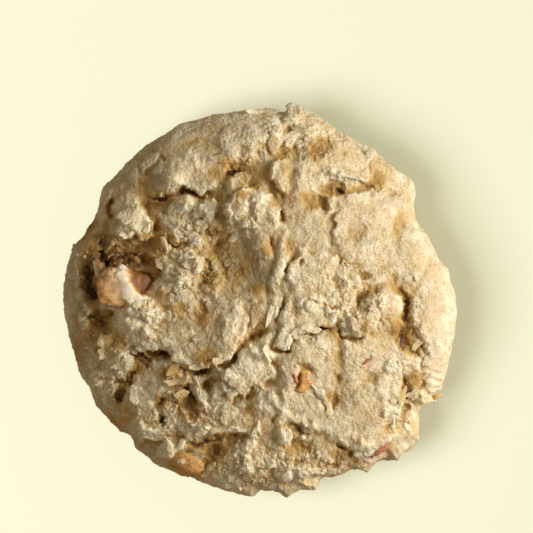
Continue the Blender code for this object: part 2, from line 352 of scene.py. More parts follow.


# %% [markdown]
# ## Plates, ledges, cracks, hollows and lumps
# A heap of broken crust looks random, but an eye knows this one by its large shapes. So each large
# shape is put in at the place where the picture shows it, as a soft step, groove or mound.
# Small ones are left to the noise further down. Rises and depths are in millimetres.

# %% Crust plates: rise, softness, direction and half width of the torn side, outline in pixels
PLATES = {
    "left_plate": (1.5, 0.6, 285, 85, (
        (150, 300), (162, 291), (180, 289), (200, 295), (220, 292), (238, 300), (246, 318),
        (252, 330), (243, 342), (238, 351), (227, 359), (210, 362), (196, 368), (186, 366),
        (171, 356), (166, 350), (150, 348), (138, 352), (128, 344), (128, 330), (138, 316))),
    "left_chunk": (1.7, 0.5, 320, 95, (
        (112, 205), (118, 196), (127, 192), (136, 196), (143, 201), (150, 210), (152, 224),
        (151, 238), (143, 240), (137, 235), (130, 240), (122, 240), (114, 232), (109, 220))),
    "bright_plate": (1.5, 0.7, 80, 110, (
        (225, 205), (232, 195), (243, 189), (253, 188), (263, 191), (271, 196), (279, 206),
        (282, 217), (276, 229), (262, 233), (248, 236), (236, 231), (228, 221))),
    "upper_right_plate": (0.6, 0.5, 150, 45, (
        (338, 203), (350, 195), (365, 192), (380, 193), (395, 199), (409, 209), (420, 222),
        (434, 248), (438, 266), (425, 271), (405, 268), (390, 272), (374, 269), (360, 273),
        (352, 267), (345, 268), (338, 258), (334, 243), (332, 222))),
    "top_right_mass": (1.0, 0.6, 310, 75, (
        (300, 130), (315, 124), (335, 128), (352, 138), (362, 150), (367, 163), (370, 179),
        (362, 184), (350, 181), (338, 179), (322, 172), (311, 165), (303, 152), (297, 141))),
    "middle_lump": (0.9, 0.7, 150, 80, (
        (274, 166), (284, 159), (298, 160), (306, 156), (318, 160), (322, 172), (318, 185),
        (308, 194), (296, 200), (284, 198), (275, 188), (270, 177))),
    "centre_plate": (0.8, 0.5, 110, 70, (
        (286, 262), (296, 256), (311, 254), (326, 256), (336, 262), (341, 276), (338, 291),
        (334, 303), (316, 303), (308, 299), (301, 305), (290, 305), (284, 291), (284, 275))),
    "centre_tongue": (1.1, 0.4, 290, 100, (
        (282, 311), (292, 309), (303, 309), (311, 304), (326, 308), (337, 307), (337, 316),
        (330, 325), (318, 327), (300, 331), (289, 338), (284, 346), (276, 344), (278, 330))),
    "pink_plate": (1.0, 0.5, 350, 90, (
        (376, 292), (386, 287), (396, 292), (403, 303), (400, 318), (394, 330), (384, 332),
        (377, 322), (373, 306))),
    "pale_plate": (1.3, 0.5, 10, 75, (
        (234, 352), (246, 346), (258, 346), (265, 345), (268, 352), (271, 360), (278, 368),
        (276, 376), (268, 381), (262, 388), (254, 388), (240, 390), (228, 386), (222, 374),
        (226, 360))),
    "lower_right_plate": (1.2, 0.6, 330, 60, (
        (285, 346), (300, 336), (318, 332), (335, 339), (350, 340), (365, 341), (380, 342),
        (392, 350), (398, 362), (402, 376), (398, 390), (403, 405), (400, 420), (395, 436),
        (384, 445), (370, 447), (352, 448), (335, 440), (318, 431), (305, 421), (292, 410),
        (280, 398), (277, 383), (277, 362))),
    "lower_left_cluster": (1.3, 0.5, 275, 75, (
        (127, 384), (142, 382), (152, 372), (161, 364), (175, 362), (187, 369), (190, 385),
        (183, 405), (191, 421), (215, 427), (235, 426), (252, 430), (258, 420), (262, 432),
        (240, 430), (215, 432), (196, 439), (186, 441), (180, 433), (150, 436), (139, 437),
        (133, 421), (128, 402))),
    "right_rim": (1.0, 1.0, 190, 75, (
        (412, 268), (430, 262), (446, 278), (453, 310), (451, 345), (445, 372), (438, 388),
        (424, 388), (420, 372), (427, 355), (424, 343), (415, 330), (408, 312), (404, 292),
        (406, 278))),
    "top_left_crust": (1.3, 0.6, 290, 45, (
        (92, 215), (96, 180), (140, 130), (200, 105), (280, 100), (284, 118), (282, 140),
        (262, 158), (240, 163), (228, 172), (214, 190), (203, 194), (190, 189), (178, 189),
        (165, 196), (150, 194), (138, 184), (125, 182), (112, 198))),
    "flap": (0.9, 0.4, 60, 80, (
        (336, 267), (341, 262), (348, 266), (354, 268), (360, 275), (356, 280), (350, 283),
        (345, 289), (341, 285), (337, 276))),
    "low_pale": (0.7, 0.5, 255, 75, (
        (219, 380), (224, 368), (236, 358), (250, 354), (262, 362), (264, 388), (254, 388),
        (252, 392), (247, 397), (236, 393), (224, 390))),
}

# %% Recesses, which are plates that go down: deepest and sharpest at the side they are torn
RECESSES = {
    "valley": (1.7, 1.0, 235, 75, (
        (226, 160), (240, 155), (255, 155), (266, 160), (272, 170), (275, 182), (277, 196),
        (279, 207), (275, 205), (269, 198), (259, 191), (249, 187), (241, 180), (234, 172),
        (226, 170))),
    "cavity_heart": (0.7, 0.7, 60, 90, (
        (316, 190), (322, 186), (330, 186), (338, 187), (340, 192), (334, 196), (326, 196),
        (318, 194))),
    "right_recess": (0.7, 0.6, 200, 80, (
        (364, 184), (369, 176), (378, 170), (388, 173), (391, 180), (387, 187), (377, 191),
        (367, 189))),
    "upper_pit": (1.4, 1.4, 20, 80, (
        (302, 200), (310, 194), (322, 196), (332, 202), (334, 210), (326, 212), (315, 209),
        (305, 207))),
    "top_cavity": (0.9, 0.6, 60, 80, (
        (273, 152), (281, 147), (292, 149), (301, 150), (301, 157), (290, 159), (279, 158))),
    "orange_hollow": (1.7, 1.0, 20, 80, (
        (310, 144), (316, 137), (325, 135), (331, 141), (328, 150), (324, 160), (317, 161),
        (312, 153))),
    "right_valley": (2.5, 1.2, 215, 70, (
        (400, 288), (407, 296), (409, 310), (413, 322), (419, 334), (423, 346), (419, 355),
        (409, 353), (399, 347), (392, 338), (393, 328), (399, 318), (402, 306))),
    "right_cavity": (1.6, 0.8, 185, 80, (
        (400, 376), (408, 373), (417, 374), (421, 380), (414, 384), (413, 392), (407, 399),
        (401, 399), (400, 388))),
    "lower_step": (1.6, 0.6, 95, 75, (
        (190, 440), (205, 435), (222, 430), (238, 429), (250, 432), (254, 440), (248, 447),
        (236, 448), (220, 455), (204, 459), (194, 452))),
    "small_hole": (2.2, 0.35, 60, 110, (
        (291, 425), (297, 422), (304, 425), (307, 430), (301, 433), (295, 430))),
    "dark_hole": (2.4, 0.6, 20, 90, (
        (182, 385), (192, 383), (198, 392), (199, 404), (196, 413), (187, 411), (183, 400))),
    "under_plate": (1.1, 0.7, 70, 80, (
        (166, 352), (176, 358), (190, 366), (206, 364), (216, 366), (214, 376), (200, 380),
        (186, 378), (172, 370))),
    "over_fruit": (3.0, 0.6, 90, 100, (
        (104, 262), (112, 256), (124, 254), (136, 252), (148, 254), (158, 260), (160, 271),
        (150, 269), (140, 263), (126, 259), (114, 264), (106, 272))),
    "wall_gap": (3.0, 0.5, 0, 90, (
        (82, 262), (90, 262), (94, 272), (98, 286), (99, 300), (90, 304), (84, 292), (81, 276))),
    "wall_gap_b": (2.2, 0.5, 10, 90, (
        (93, 236), (102, 238), (108, 250), (107, 262), (98, 260), (92, 250))),
    "wall_gap_c": (1.8, 0.5, 40, 90, (
        (86, 314), (96, 308), (106, 314), (112, 330), (106, 342), (96, 336), (88, 326))),
    "corner_recess": (1.2, 0.6, 190, 80, (
        (401, 402), (408, 403), (416, 412), (418, 424), (411, 427), (404, 420), (401, 412))),
    "valley_left": (0.8, 0.9, 30, 80, (
        (205, 168), (216, 162), (228, 164), (237, 171), (235, 179), (222, 181), (210, 178))),
    "left_gap": (1.4, 0.6, 60, 90, (
        (130, 352), (142, 352), (152, 358), (150, 370), (142, 378), (134, 376), (130, 364))),
    "dark_gap_a": (1.0, 0.6, 20, 90, (
        (200, 262), (206, 256), (212, 262), (214, 276), (214, 290), (208, 294), (204, 284),
        (202, 272))),
    "dark_gap_b": (0.9, 0.6, 20, 90, (
        (194, 304), (200, 298), (208, 302), (208, 314), (202, 320), (196, 314))),
}

# %% Cracks: middle line in picture pixels, half width, depth
CRACKS = {
    "under_left_plate": (0.55, 1.9, (
        (140, 354), (152, 351), (163, 353), (171, 360), (186, 368), (200, 366), (222, 362),
        (238, 354), (250, 339), (260, 332))),
    "middle_crack": (0.50, 1.3, (
        (274, 326), (279, 312), (282, 300), (284, 288), (284, 272), (281, 258))),
    "upper_middle_crack": (0.40, 1.0, ((271, 250), (273, 241), (266, 232), (260, 227))),
    "valley_tail": (0.50, 1.2, ((274, 188), (282, 199), (284, 210), (281, 224))),
    "plate_rim_crack": (0.35, 0.6, ((338, 260), (345, 268), (352, 267), (361, 274), (372, 272))),
    "centre_crack": (0.35, 0.7, (
        (286, 306), (300, 306), (308, 300), (316, 304), (330, 306), (337, 302))),
    "tongue_crack": (0.5, 1.1, (
        (272, 343), (280, 350), (288, 346), (291, 339), (301, 333), (318, 329), (330, 328))),
    "lump_crescent": (0.45, 1.5, ((336, 326), (341, 336), (352, 339), (364, 338))),
    "lump_gap": (0.6, 0.4, ((344, 308), (339, 318), (338, 330))),
    "valley_line": (0.6, 0.8, (
        (391, 274), (397, 289), (404, 304), (408, 321), (416, 336), (427, 353), (424, 368))),
    "lower_dark_crack": (0.55, 1.5, ((328, 439), (340, 447), (348, 453), (357, 450))),
    "lower_crease": (0.35, 0.7, ((311, 390), (318, 398), (324, 410))),
    "lower_step": (0.6, 0.8, (
        (192, 442), (206, 438), (222, 434), (238, 432), (252, 436), (262, 440))),
    "pale_plate_edge": (0.35, 0.5, ((268, 350), (271, 360), (279, 368), (276, 377), (267, 383))),
    "pale_plate_crack": (0.35, 1.1, ((246, 400), (251, 392), (253, 384))),
    "upper_left_crack": (0.45, 1.1, ((150, 196), (165, 199), (183, 191), (193, 191), (204, 197))),
    "left_groove": (0.6, 1.8, ((164, 394), (160, 405), (163, 416), (161, 426))),
    "left_wall_groove": (0.55, 1.3, ((97, 228), (100, 244), (107, 258), (112, 268))),
    "left_wall_gap": (0.60, 1.5, ((112, 199), (109, 210), (113, 222))),
    "flake_gap": (0.45, 1.2, ((166, 226), (172, 238), (178, 250))),
    "flake_outline": (0.40, 0.7, (
        (159, 150), (161, 157), (156, 166), (148, 174), (141, 174), (139, 167), (144, 157),
        (152, 150), (159, 150))),
    "cavity_crack": (0.5, 1.4, ((318, 186), (325, 189), (331, 193), (338, 193), (344, 197))),
    "recess_crack": (0.4, 1.0, ((362, 185), (368, 189), (375, 190), (382, 188))),
}

# %% Hollows: middle in picture pixels, half length, half width, turn, depth
HOLLOWS = dict(
    under_left_plate_a=(160, 355, 12, 4.5, 5, 1.8), under_left_plate_b=(205, 368, 9, 3.5, -5, 1.6),
    under_left_plate_c=(237, 353, 10, 3, 48, 1.1), below_chunk=(124, 250, 18, 7, 10, 1.8),
    left_gap_a=(132, 376, 8, 4, 60, 1.8), left_gap_b=(120, 391, 10, 5, 70, 1.4),
    tiny_hollow=(274, 416, 4, 2.5, 0, 0.9), olive_pit=(335, 376, 4.5, 4.5, 0, 1.0),
    long_pit=(333, 399, 7, 3, 105, 1.0), soft_hollow=(208, 386, 11, 7, 70, 1.4),
    grey_hollow=(236, 260, 38, 19, -60, 2.3), grey_spot=(238, 268, 5, 5, 0, 0.8),
    grey_foot=(266, 289, 7, 5, 60, 0.8), star_pit=(220, 249, 6, 6, 0, 0.9),
    plate_pit=(293, 251, 8, 5, 60, 1.0), orange_pit=(300, 262, 3, 3, 0, 0.9),
    beside_lump=(341, 321, 12, 4, 80, 0.8), brown_hollow=(366, 295, 11, 8, 50, 1.0),
    rim_hook=(391, 193, 6, 3, -30, 0.6), top_dent=(288, 129, 6, 4, 40, 1.0),
    black_hole=(182, 191, 4, 3, 0, 0.9), brown_flat=(160, 201, 15, 10, 10, 1.3),
    crust_hole=(232, 175, 9, 4, 15, 1.9), crust_dent=(216, 154, 5, 2.5, 15, 0.8),
    lower_step_b=(196, 443, 8, 6, 0, 0.8), over_centre_fruit=(305, 366, 8, 4, -25, 1.1),
    centre_fruit_slot=(298, 377, 10, 3.5, 80, 1.0), upper_right_valley=(410, 290, 22, 8, 53, 1.2),
    lower_gap_b=(300, 445, 13, 8, 0, 1.2), lower_gap_c=(332, 460, 10, 6, 0, 1.0),
    corner_gap=(388, 427, 9, 6, 80, 1.3), beside_tongue=(337, 350, 16, 6, 85, 1.0),
    oval_dip=(202, 147, 15, 8, 10, 0.9), crust_gap=(149, 184, 14, 10, 40, 1.2),
    mid_gap=(154, 229, 11, 5, 0, 1.6), mid_gap_b=(181, 244, 8, 5, 0, 1.2),
    corner_plate_dip_b=(397, 230, 18, 6, 85, 0.9), lower_plate_dip=(367, 376, 13, 9, -30, 0.8),
    middle_dip=(290, 176, 17, 6, 80, 1.2), corner_plate_dip=(355, 236, 13, 9, 80, 0.9),
    fruit_cut=(147, 277, 15, 13, 0, 3.5), soft_gap=(257, 329, 12, 5, 30, 0.9),
    long_valley=(211, 262, 54, 25, 88, 1.6), plate_dip_mid=(338, 385, 20, 8, 85, 0.8),
    flap_pit=(338, 285, 6, 7, 60, 1.6), plate_low=(212, 351, 12, 6, 0, 0.8),
    west_dip=(160, 306, 9, 6, 0, 1.0), west_dip_b=(182, 309, 10, 6, 0, 0.8),
    chunk_east=(144, 247, 13, 8, 10, 1.2), fruit_gap=(106, 317, 8, 7, 0, 0.9),
    lower_gap_d=(210, 450, 9, 8, 0, 0.9), under_chunk=(104, 244, 8, 7, 0, 0.8),
    under_bump=(213, 234, 9, 6, 0, 0.7), curl_foot=(171, 373, 9, 6, 0, 0.8),
)

# %% Lumps: middle in picture pixels, half length, half width, turn, rise
LUMPS = dict(
    round_bump=(173, 173, 16, 14, 20, 1.4), brown_oval=(198, 150, 15, 6, 12, 0.5),
    grey_lump_a=(260, 252, 17, 9, 80, 1.0), cluster_a=(187, 205, 12, 9, 20, 1.2),
    cluster_b=(211, 208, 11, 9, 0, 1.1), crust_knob=(236, 186, 13, 10, 30, 1.3),
    yellow_lump=(360, 323, 14, 12, 0, 1.5), left_wall_lump=(81, 302, 24, 6, 95, 0.7),
    left_pebble=(103, 341, 8, 6, 0, 0.8), left_heap=(120, 364, 15, 12, 40, 0.9),
    curl_lump=(173, 374, 16, 9, -10, 0.9), pale_lump=(168, 450, 10, 9, 100, 1.6),
    small_pale_lump=(183, 446, 5, 4, 90, 1.0), smooth_lump=(201, 446, 9, 8, 0, 1.2),
    hole_lump=(282, 435, 10, 8, 110, 1.8), left_mid_lump=(195, 262, 12, 10, 0, 0.7),
    left_mid_lump_b=(180, 275, 9, 8, 0, 0.8), orange_knob=(184, 269, 5, 4, 0, 0.5),
    rim_lump=(415, 195, 10, 7, 80, 0.5), edge_lump=(365, 395, 16, 10, 60, 0.5),
    fruit_film=(287, 385, 9, 13, 12, 0.9), left_chunk_lump=(133, 216, 15, 13, 60, 1.2),
    left_plate_left=(134, 321, 18, 14, 0, 1.9), plate_end_lump=(228, 326, 12, 9, 70, 1.0),
    pale_top=(262, 350, 15, 7, 0, 0.9), knob_east=(185, 282, 10, 8, 85, 0.9),
    ridge_east=(279, 262, 24, 6, 76, 1.1), plate_top=(295, 251, 9, 6, 0, 0.7),
    valley_side=(260, 196, 15, 8, 80, 1.0), top_knob=(272, 129, 12, 9, 85, 0.6),
    lower_mid=(251, 442, 11, 9, 85, 1.2), lower_lump=(242, 448, 11, 8, 85, 0.9),
    step_lump=(203, 421, 14, 8, 5, 0.9), hole_rim=(308, 424, 10, 6, 0, 0.9),
    corner_lump=(363, 449, 13, 10, 20, 1.4), rim_low=(411, 378, 16, 8, 80, 1.1),
    right_mid=(373, 303, 10, 9, 85, 1.0), gap_lump=(343, 318, 6, 15, 0, 0.9),
    lower_left_lump=(141, 429, 16, 8, -15, 0.8), mid_low=(220, 386, 9, 8, 0, 1.1),
    mid_low_b=(278, 398, 14, 9, -50, 1.1), cluster_c=(203, 213, 12, 8, 0, 0.8),
    cavity_roof=(341, 179, 14, 6, -12, 0.9), film_run=(143, 306, 21, 9, -28, 1.9),
    bottom_lump=(290, 476, 12, 10, 0, 1.4), pit_side=(330, 208, 8, 6, 80, 0.7),
    wall_lump=(98, 377, 9, 8, 0, 0.8), wall_knob_a=(104, 268, 7, 6, 0, 1.0),
    wall_knob_b=(117, 262, 7, 5, 0, 1.0), wall_knob_c=(92, 306, 9, 6, 80, 1.0),
    wall_knob_d=(122, 348, 8, 7, 0, 0.7), round_rim=(173, 187, 9, 13, 0, 0.8),
    centre_top=(308, 303, 15, 9, 0, 1.1), run_bright=(127, 315, 10, 8, 0, 1.4),
    below_pale=(264, 392, 10, 8, 0, 0.9), top_crest=(231, 140, 13, 11, 80, 0.8),
    gap_foot=(267, 338, 9, 8, 0, 0.9), fruit_foot=(138, 307, 15, 8, -25, 1.5),
    bump_top=(188, 162, 9, 8, 0, 0.8), bright_mid=(235, 204, 13, 14, 0, 0.9),
    cavity_west=(324, 176, 8, 7, 0, 0.5), flap=(340, 283, 6, 8, 0, 0.8),
    wall_top=(151, 330, 8, 12, 0, 0.9), run_foot=(134, 322, 9, 9, 0, 1.2),
    west_seam=(220, 366, 10, 12, 0, 0.8), low_west=(204, 393, 12, 8, 0, 0.7),
    south_centre=(263, 401, 14, 10, 0, 1.0), hole_north=(297, 419, 8, 7, 0, 0.8),
    south=(246, 463, 9, 9, 0, 1.1), edge_corner=(389, 413, 8, 10, 0, 0.8),
    plate_east=(383, 386, 8, 12, 0, 0.7), wall_knob_e=(108, 305, 9, 6, 0, 0.9),
    beside_cut=(164, 280, 7, 13, 0, 0.8), valley_lump=(412, 337, 6, 5, 30, 0.6),
    valley_lump_b=(403, 321, 5, 4, 0, 0.5), face_foot=(123, 309, 8, 6, 0, 1.2),
    top_middle=(252, 138, 12, 11, 0, 1.0), south_mid=(284, 414, 9, 8, 0, 1.0),
    cavity_east=(349, 186, 7, 7, 0, 0.8), valley_north=(253, 156, 11, 8, 0, 0.5),
    south_rim=(310, 470, 12, 8, 0, 0.8), wall_knob_f=(111, 256, 8, 5, 0, 0.7),
    knob_west=(176, 281, 7, 8, 0, 0.9), plate_gap_b=(389, 364, 7, 6, 0, 0.7),
    valley_side_b=(258, 208, 7, 9, 0, 0.7), bump_west=(159, 196, 8, 8, 0, 0.5),
    west_low_c=(200, 403, 9, 7, 0, 0.6), gap_foot_b=(270, 353, 7, 7, 0, 0.6),
)


# %% How far a point is from an outline or a line


def to_piece_of_line(x, y, start, end):
    """The distance to one straight piece, and the share of it passed at the nearest place."""
    run = end - start
    share = ((x - start[0]) * run[0] + (y - start[1]) * run[1]) / (run @ run)
    share = np.clip(share, 0, 1)
    dx = x - start[0] - share * run[0]
    dy = y - start[1] - share * run[1]
    return np.hypot(dx, dy), share


def inside_distance(x, y, corners):
    """Millimetres inside a closed outline, and minus the millimetres outside it. A point is inside
    if a line to its right crosses the outline an odd number of times."""
    distance = np.full(x.shape, 1e9)
    inside = np.zeros(x.shape, bool)
    for start, end in zip(corners, np.roll(corners, -1, axis=0)):
        distance = np.minimum(distance, to_piece_of_line(x, y, start, end)[0])
        crosses = (start[1] > y) != (end[1] > y)
        rise = end[1] - start[1] if end[1] != start[1] else 1e-9
        inside ^= crosses & (x < start[0] + (y - start[1]) * (end[0] - start[0]) / rise)
    return np.where(inside, distance, -distance)


def line_distance(x, y, places):
    """The distance to an open line, and the share of its pieces passed, from 0 to 1."""
    distance = np.full(x.shape, 1e9)
    passed = np.zeros(x.shape)
    pieces = len(places) - 1
    for number in range(pieces):
        away, share = to_piece_of_line(x, y, places[number], places[number + 1])
        closer = away < distance
        distance = np.where(closer, away, distance)
        passed = np.where(closer, (number + share) / pieces, passed)
    return distance, passed


def turned_ellipse(x, y, spot):
    """The squared share of the way from an ellipse's middle to its edge."""
    across, down, half_length, half_width, turn = spot[:5]
    middle = from_picture((across, down))
    angle = math.radians(turn)
    dx, dy = x - middle[0], y - middle[1]
    along = (dx * math.cos(angle) + dy * math.sin(angle)) / (half_length * PIXEL)
    side = (dy * math.cos(angle) - dx * math.sin(angle)) / (half_width * PIXEL)
    return along**2 + side**2


# %% The large shapes added up
TEAR_WANDER = 0.55
TEAR_FRAY = 0.62
SOFT_SIDE = 3.2


def torn(x, y):
    """The same places moved a little at random, which makes every edge drawn on them ragged."""
    flat = level(x, y)
    wander_x = TEAR_WANDER * cloud(flat, 3.1, 101) + TEAR_FRAY * clouds(flat, 1.2, 103, 4)
    wander_y = TEAR_WANDER * cloud(flat, 3.1, 102) + TEAR_FRAY * clouds(flat, 1.2, 107, 4)
    return x + wander_x, y + wander_y


def plate_shape(x, y, rise, softness, torn_towards, torn_half_width, corners):
    """Millimetres for one plate. It is a slab that stands highest at its torn side or its left, and
    ends there in a short steep step with a lifted lip and a gap below, and it runs out softly on
    its other sides. The step is a ramp of the distance inside the outline."""
    inside = inside_distance(x, y, corners)
    middle = corners.mean(axis=0)
    dx, dy = x - middle[0], y - middle[1]
    towards = math.radians(torn_towards)
    off = np.abs((np.arctan2(dy, dx) - towards + np.pi) % (2 * np.pi) - np.pi)
    torn = ramp(-np.degrees(off), -torn_half_width - 25, -torn_half_width + 25)
    flat = level(x, y)
    torn = torn * (0.30 + 0.70 * ramp(cloud(flat, 4.0, 115), -0.45, 0.25))
    size = np.abs(corners - middle).max()
    lean = (dy * math.sin(towards) - dx * max(abs(math.cos(towards)), 0.3)) / size
    softness = 0.6 * softness
    soft = softness + (SOFT_SIDE - softness) * (1 - torn)
    step = ramp(inside, -0.35 * soft, 0.65 * soft)
    height = rise * (0.70 + 0.30 * np.clip(lean, -1, 1)) * step
    height += 0.15 * rise * torn * np.exp(-(((inside - 0.7) / 0.6) ** 2))
    gap = ramp(-inside, -0.15, 0.35) * np.exp(np.minimum(inside, 0) / 1.6)
    return height - 0.45 * max(rise, 0) * torn * gap


def large_shapes(x, y):
    """Millimetres up or down for plates, lumps, cracks and hollows. Lumps and hollows fall off as
    exp(-q^2) and exp(-q^1.3), where q is the squared share of the way to the edge. A crack is
    exp(-(d/w)^2), with a width and depth that wander, and fades out at its two ends."""
    flat = level(x, y)
    wander = 0.5 + 0.5 * cloud(flat, 2.4, 111)
    x, y = torn(x, y)
    height = np.zeros_like(x)
    for rise, softness, towards, half_width, corners in PLATES.values():
        height += plate_shape(x, y, rise, softness, towards, half_width, from_picture(corners))
    for depth, softness, towards, half_width, corners in RECESSES.values():
        height += plate_shape(x, y, -depth, softness, towards, half_width, from_picture(corners))
    for spot in LUMPS.values():
        height += spot[5] * np.exp(-(turned_ellipse(x, y, spot) ** 2))
    for spot in HOLLOWS.values():
        height -= spot[5] * (0.55 + 0.5 * wander) * np.exp(-(turned_ellipse(x, y, spot) ** 1.3))
    for half_width, depth, places in CRACKS.values():
        distance, passed = line_distance(x, y, from_picture(places))
        ends = ramp(passed, -0.05, 0.15) * ramp(1 - passed, -0.05, 0.15)
        width = half_width * (0.5 + 0.7 * wander)
        open_part = ramp(wander, 0.15, 0.60)
        height -= 0.8 * depth * ends * open_part * np.exp(-((distance / width) ** 2))
    return height


# %% [markdown]
# ## The crumb
# Between the large shapes the dough is broken crumb: chips of flake and crust a few millimetres
# long, rounded grains of dough between them, and pores. The top left crust, the right rim and a few
# plates baked smooth, so the crumb is weaker there.

# %% Coarse and smooth spots: middle in picture pixels, half length, half width, turn, strength
PLAIN_COARSENESS = 0.28
COARSE_SPOTS = dict(
    left_of_middle=(195, 245, 55, 42, 70, 1.0), left_plate=(195, 318, 50, 34, 10, 0.25),
    centre=(300, 300, 60, 60, 0, 0.25), above_left_plate=(195, 280, 38, 14, 10, 1.0),
    left_heap=(122, 368, 40, 22, 60, 1.0), lower_left=(190, 405, 62, 34, 15, 0.85),
    under_plate=(205, 378, 42, 14, 5, 1.0), bottom=(270, 466, 78, 26, 4, 1.0),
    yellow_heap=(360, 310, 32, 28, 0, 0.9), right_cavity=(412, 380, 26, 18, 70, 0.9),
    bright_plate_foot=(245, 215, 26, 20, 0, 0.7), top=(290, 140, 40, 22, 10, 0.7),
    left_wall=(88, 330, 70, 18, 85, 0.95), left_wall_top=(108, 250, 34, 22, 60, 0.9),
    corner=(400, 418, 18, 24, 0, 0.8), right_valley=(408, 325, 14, 36, -20, 0.5),
    orange_hollow=(320, 149, 14, 12, 0, 0.6), over_fruit=(130, 262, 32, 14, 0, 0.9),
    film_run=(145, 310, 24, 14, -25, 0.8),
)
SMOOTH_SPOTS = dict(
    top_left_crust=(180, 140, 78, 24, 32, 0.9), round_bump=(180, 172, 15, 13, 0, 0.9),
    right_rim=(437, 320, 62, 17, 88, 0.6), grey_hollow=(252, 264, 26, 18, 80, 0.5),
    lower_wall=(150, 449, 22, 10, -35, 0.9), pale_plate=(259, 366, 18, 17, 0, 0.9),
    smooth_lump=(201, 446, 9, 9, 0, 0.9), left_chunk=(131, 215, 18, 17, 0, 0.9),
    fruit_film=(128, 285, 12, 16, 0, 0.8), valley=(258, 181, 27, 13, -50, 0.7),
)


def coarseness(x, y):
    """0 on smooth crust, 1 on open crumb, and PLAIN_COARSENESS where nothing else is said. Each
    spot pulls towards its end by its own strength, fading as exp(-q^1.5) at its edge."""
    coarse = np.full_like(x, PLAIN_COARSENESS)
    for spot in COARSE_SPOTS.values():
        coarse += (1 - coarse) * spot[5] * np.exp(-(turned_ellipse(x, y, spot) ** 1.5))
    for spot in SMOOTH_SPOTS.values():
        coarse *= 1 - spot[5] * np.exp(-(turned_ellipse(x, y, spot) ** 1.5))
    return coarse


def crumb_relief(points, coarse):
    """Millimetres along the surface's own direction: overlapping flakes of three sizes, grains of
    two, pores, torn layers of two and a little cloud, most of them stronger where it is coarse."""
    bend = np.stack([clouds(points, 1.6, 60 + 5 * axis, 3) for axis in range(3)], axis=-1)
    bent = points + 0.75 * bend
    open_crumb = coarse**1.6
    relief = 0.24 * scales(bent, 4.2, 201, 1.9) * open_crumb
    relief += 0.18 * scales(bent, 2.3, 261, 1.6) * open_crumb
    relief += 0.10 * scales(bent, 1.2, 281, 1.2) * coarse
    relief += 0.48 * (grains(bent, 3.4, 211) - 0.6) * (0.10 + 0.90 * open_crumb)
    relief += 0.22 * (grains(bent, 1.7, 216) - 0.6) * (0.12 + 0.88 * open_crumb)
    relief += 0.12 * (foam(bent, 1.0, 221) - 0.5) * (0.35 + 0.65 * coarse)
    relief += 0.50 * terraces(bent, 6.0, 2.6, 231) * (0.20 + 0.80 * ramp(coarse, 0.05, 0.45))
    relief += 0.26 * terraces(bent, 2.4, 1.6, 236) * (0.12 + 0.88 * coarse)
    relief += 0.30 * clouds(points, 8.0, 251, 2)
    return relief


# %% Directions of a grid's surface


def grid_normals(points):
    """Unit directions out of a grid surface: the cross product of the steps to its neighbours."""
    along = np.gradient(points, axis=0)
    across = np.gradient(points, axis=1)
    normal = np.cross(along, across)
    length = np.linalg.norm(normal, axis=-1, keepdims=True)
    return normal / np.maximum(length, 1e-9)


def blurred(values, cells):
    """The mean over a square window of a table, twice, by running sums along each axis."""
    for _ in range(2):
        for axis in (0, 1):
            pad = [(cells + 1, cells) if k == axis else (0, 0) for k in (0, 1)]
            total = np.cumsum(np.pad(values, pad, mode="edge"), axis=axis)
            size = values.shape[axis]
            high = np.take(total, np.arange(2 * cells + 1, 2 * cells + 1 + size), axis=axis)
            low = np.take(total, np.arange(size), axis=axis)
            values = (high - low) / (2 * cells + 1)
    return values


# %% The dough's surface, top and side
TOP_CELLS = 580
SIDE_RINGS = 22
FOOT_HEIGHT = 0.35


def top_surface(cells):
    """Points of the top in mm, with the large shapes, and how coarse each one is. The large shapes
    fade out at the rim, where the dome is upright."""
    azimuth, share = disc_grid(cells)
    radius = radius_at(azimuth, share)
    x, y = radius * np.cos(azimuth), radius * np.sin(azimuth)
    fade = ramp(1 - share, 0.0, 0.07)
    plain = dome(share) - lean_of(x, share)
    z = plain + fade * large_shapes(x, y)
    rough_rim = (0.38 - 0.16 * np.cos(azimuth)) * ramp(share, 0.90, 0.98)
    return np.stack([x, y, z], axis=-1), np.maximum(coarseness(x, y), rough_rim), plain


def side_surface(border_azimuth):
    """Rings from just under the waist to the foot. The share of the radius is BASE_SHARE plus the
    rest times a cosine, and the height is the waist's times one minus a sine. Further down the
    rim's corners wander sideways and fade, as they do on a real lump of dough."""
    turn = 0.5 * np.pi * np.arange(1, SIDE_RINGS + 1)[:, None] / SIDE_RINGS
    down = np.sin(turn) + 0 * border_azimuth
    moved = wandered(border_azimuth + 0 * down, -down)
    corner = ragged_rim_radius(moved, -down) - soft_rim_radius(moved)
    rim = soft_rim_radius(border_azimuth) + corner * (1 - 0.85 * ramp(down, 0.0, 0.55))
    radius = (BASE_SHARE + (1 - BASE_SHARE) * np.cos(turn)) * rim
    z = FOOT_HEIGHT + (WAIST_HEIGHT - FOOT_HEIGHT) * (1 - down)
    return np.stack([radius * np.cos(border_azimuth), radius * np.sin(border_azimuth), z], axis=-1)


top, top_coarse, top_plain = top_surface(TOP_CELLS)
border_row, border_column = border_of(TOP_CELLS)
border_azimuth = np.arctan2(top[border_row, border_column, 1], top[border_row, border_column, 0])
side = side_surface(border_azimuth)
print("highest point of the large shapes:", top[..., 2].max().round(2), "mm")

# %% [markdown]
# Small relief goes along the surface's own direction and not straight up, so that walls get it too.

# %% Push the crumb out of the surface
side_out = np.stack(
    [np.cos(border_azimuth), np.sin(border_azimuth), np.zeros_like(border_azimuth)], axis=-1
)
top_share = disc_grid(TOP_CELLS)[1]
outwards = top * (1, 1, 0) / np.maximum(np.linalg.norm(top[..., :2], axis=-1), 1e-9)[..., None]
at_rim = ramp(top_share, 0.93, 1.0)[..., None]
top_directions = grid_normals(top) * (1 - at_rim) + outwards * at_rim
top_relief = crumb_relief(top.reshape(-1, 3), top_coarse.ravel()).reshape(top_coarse.shape)
top_final = top + top_directions * top_relief[..., None]

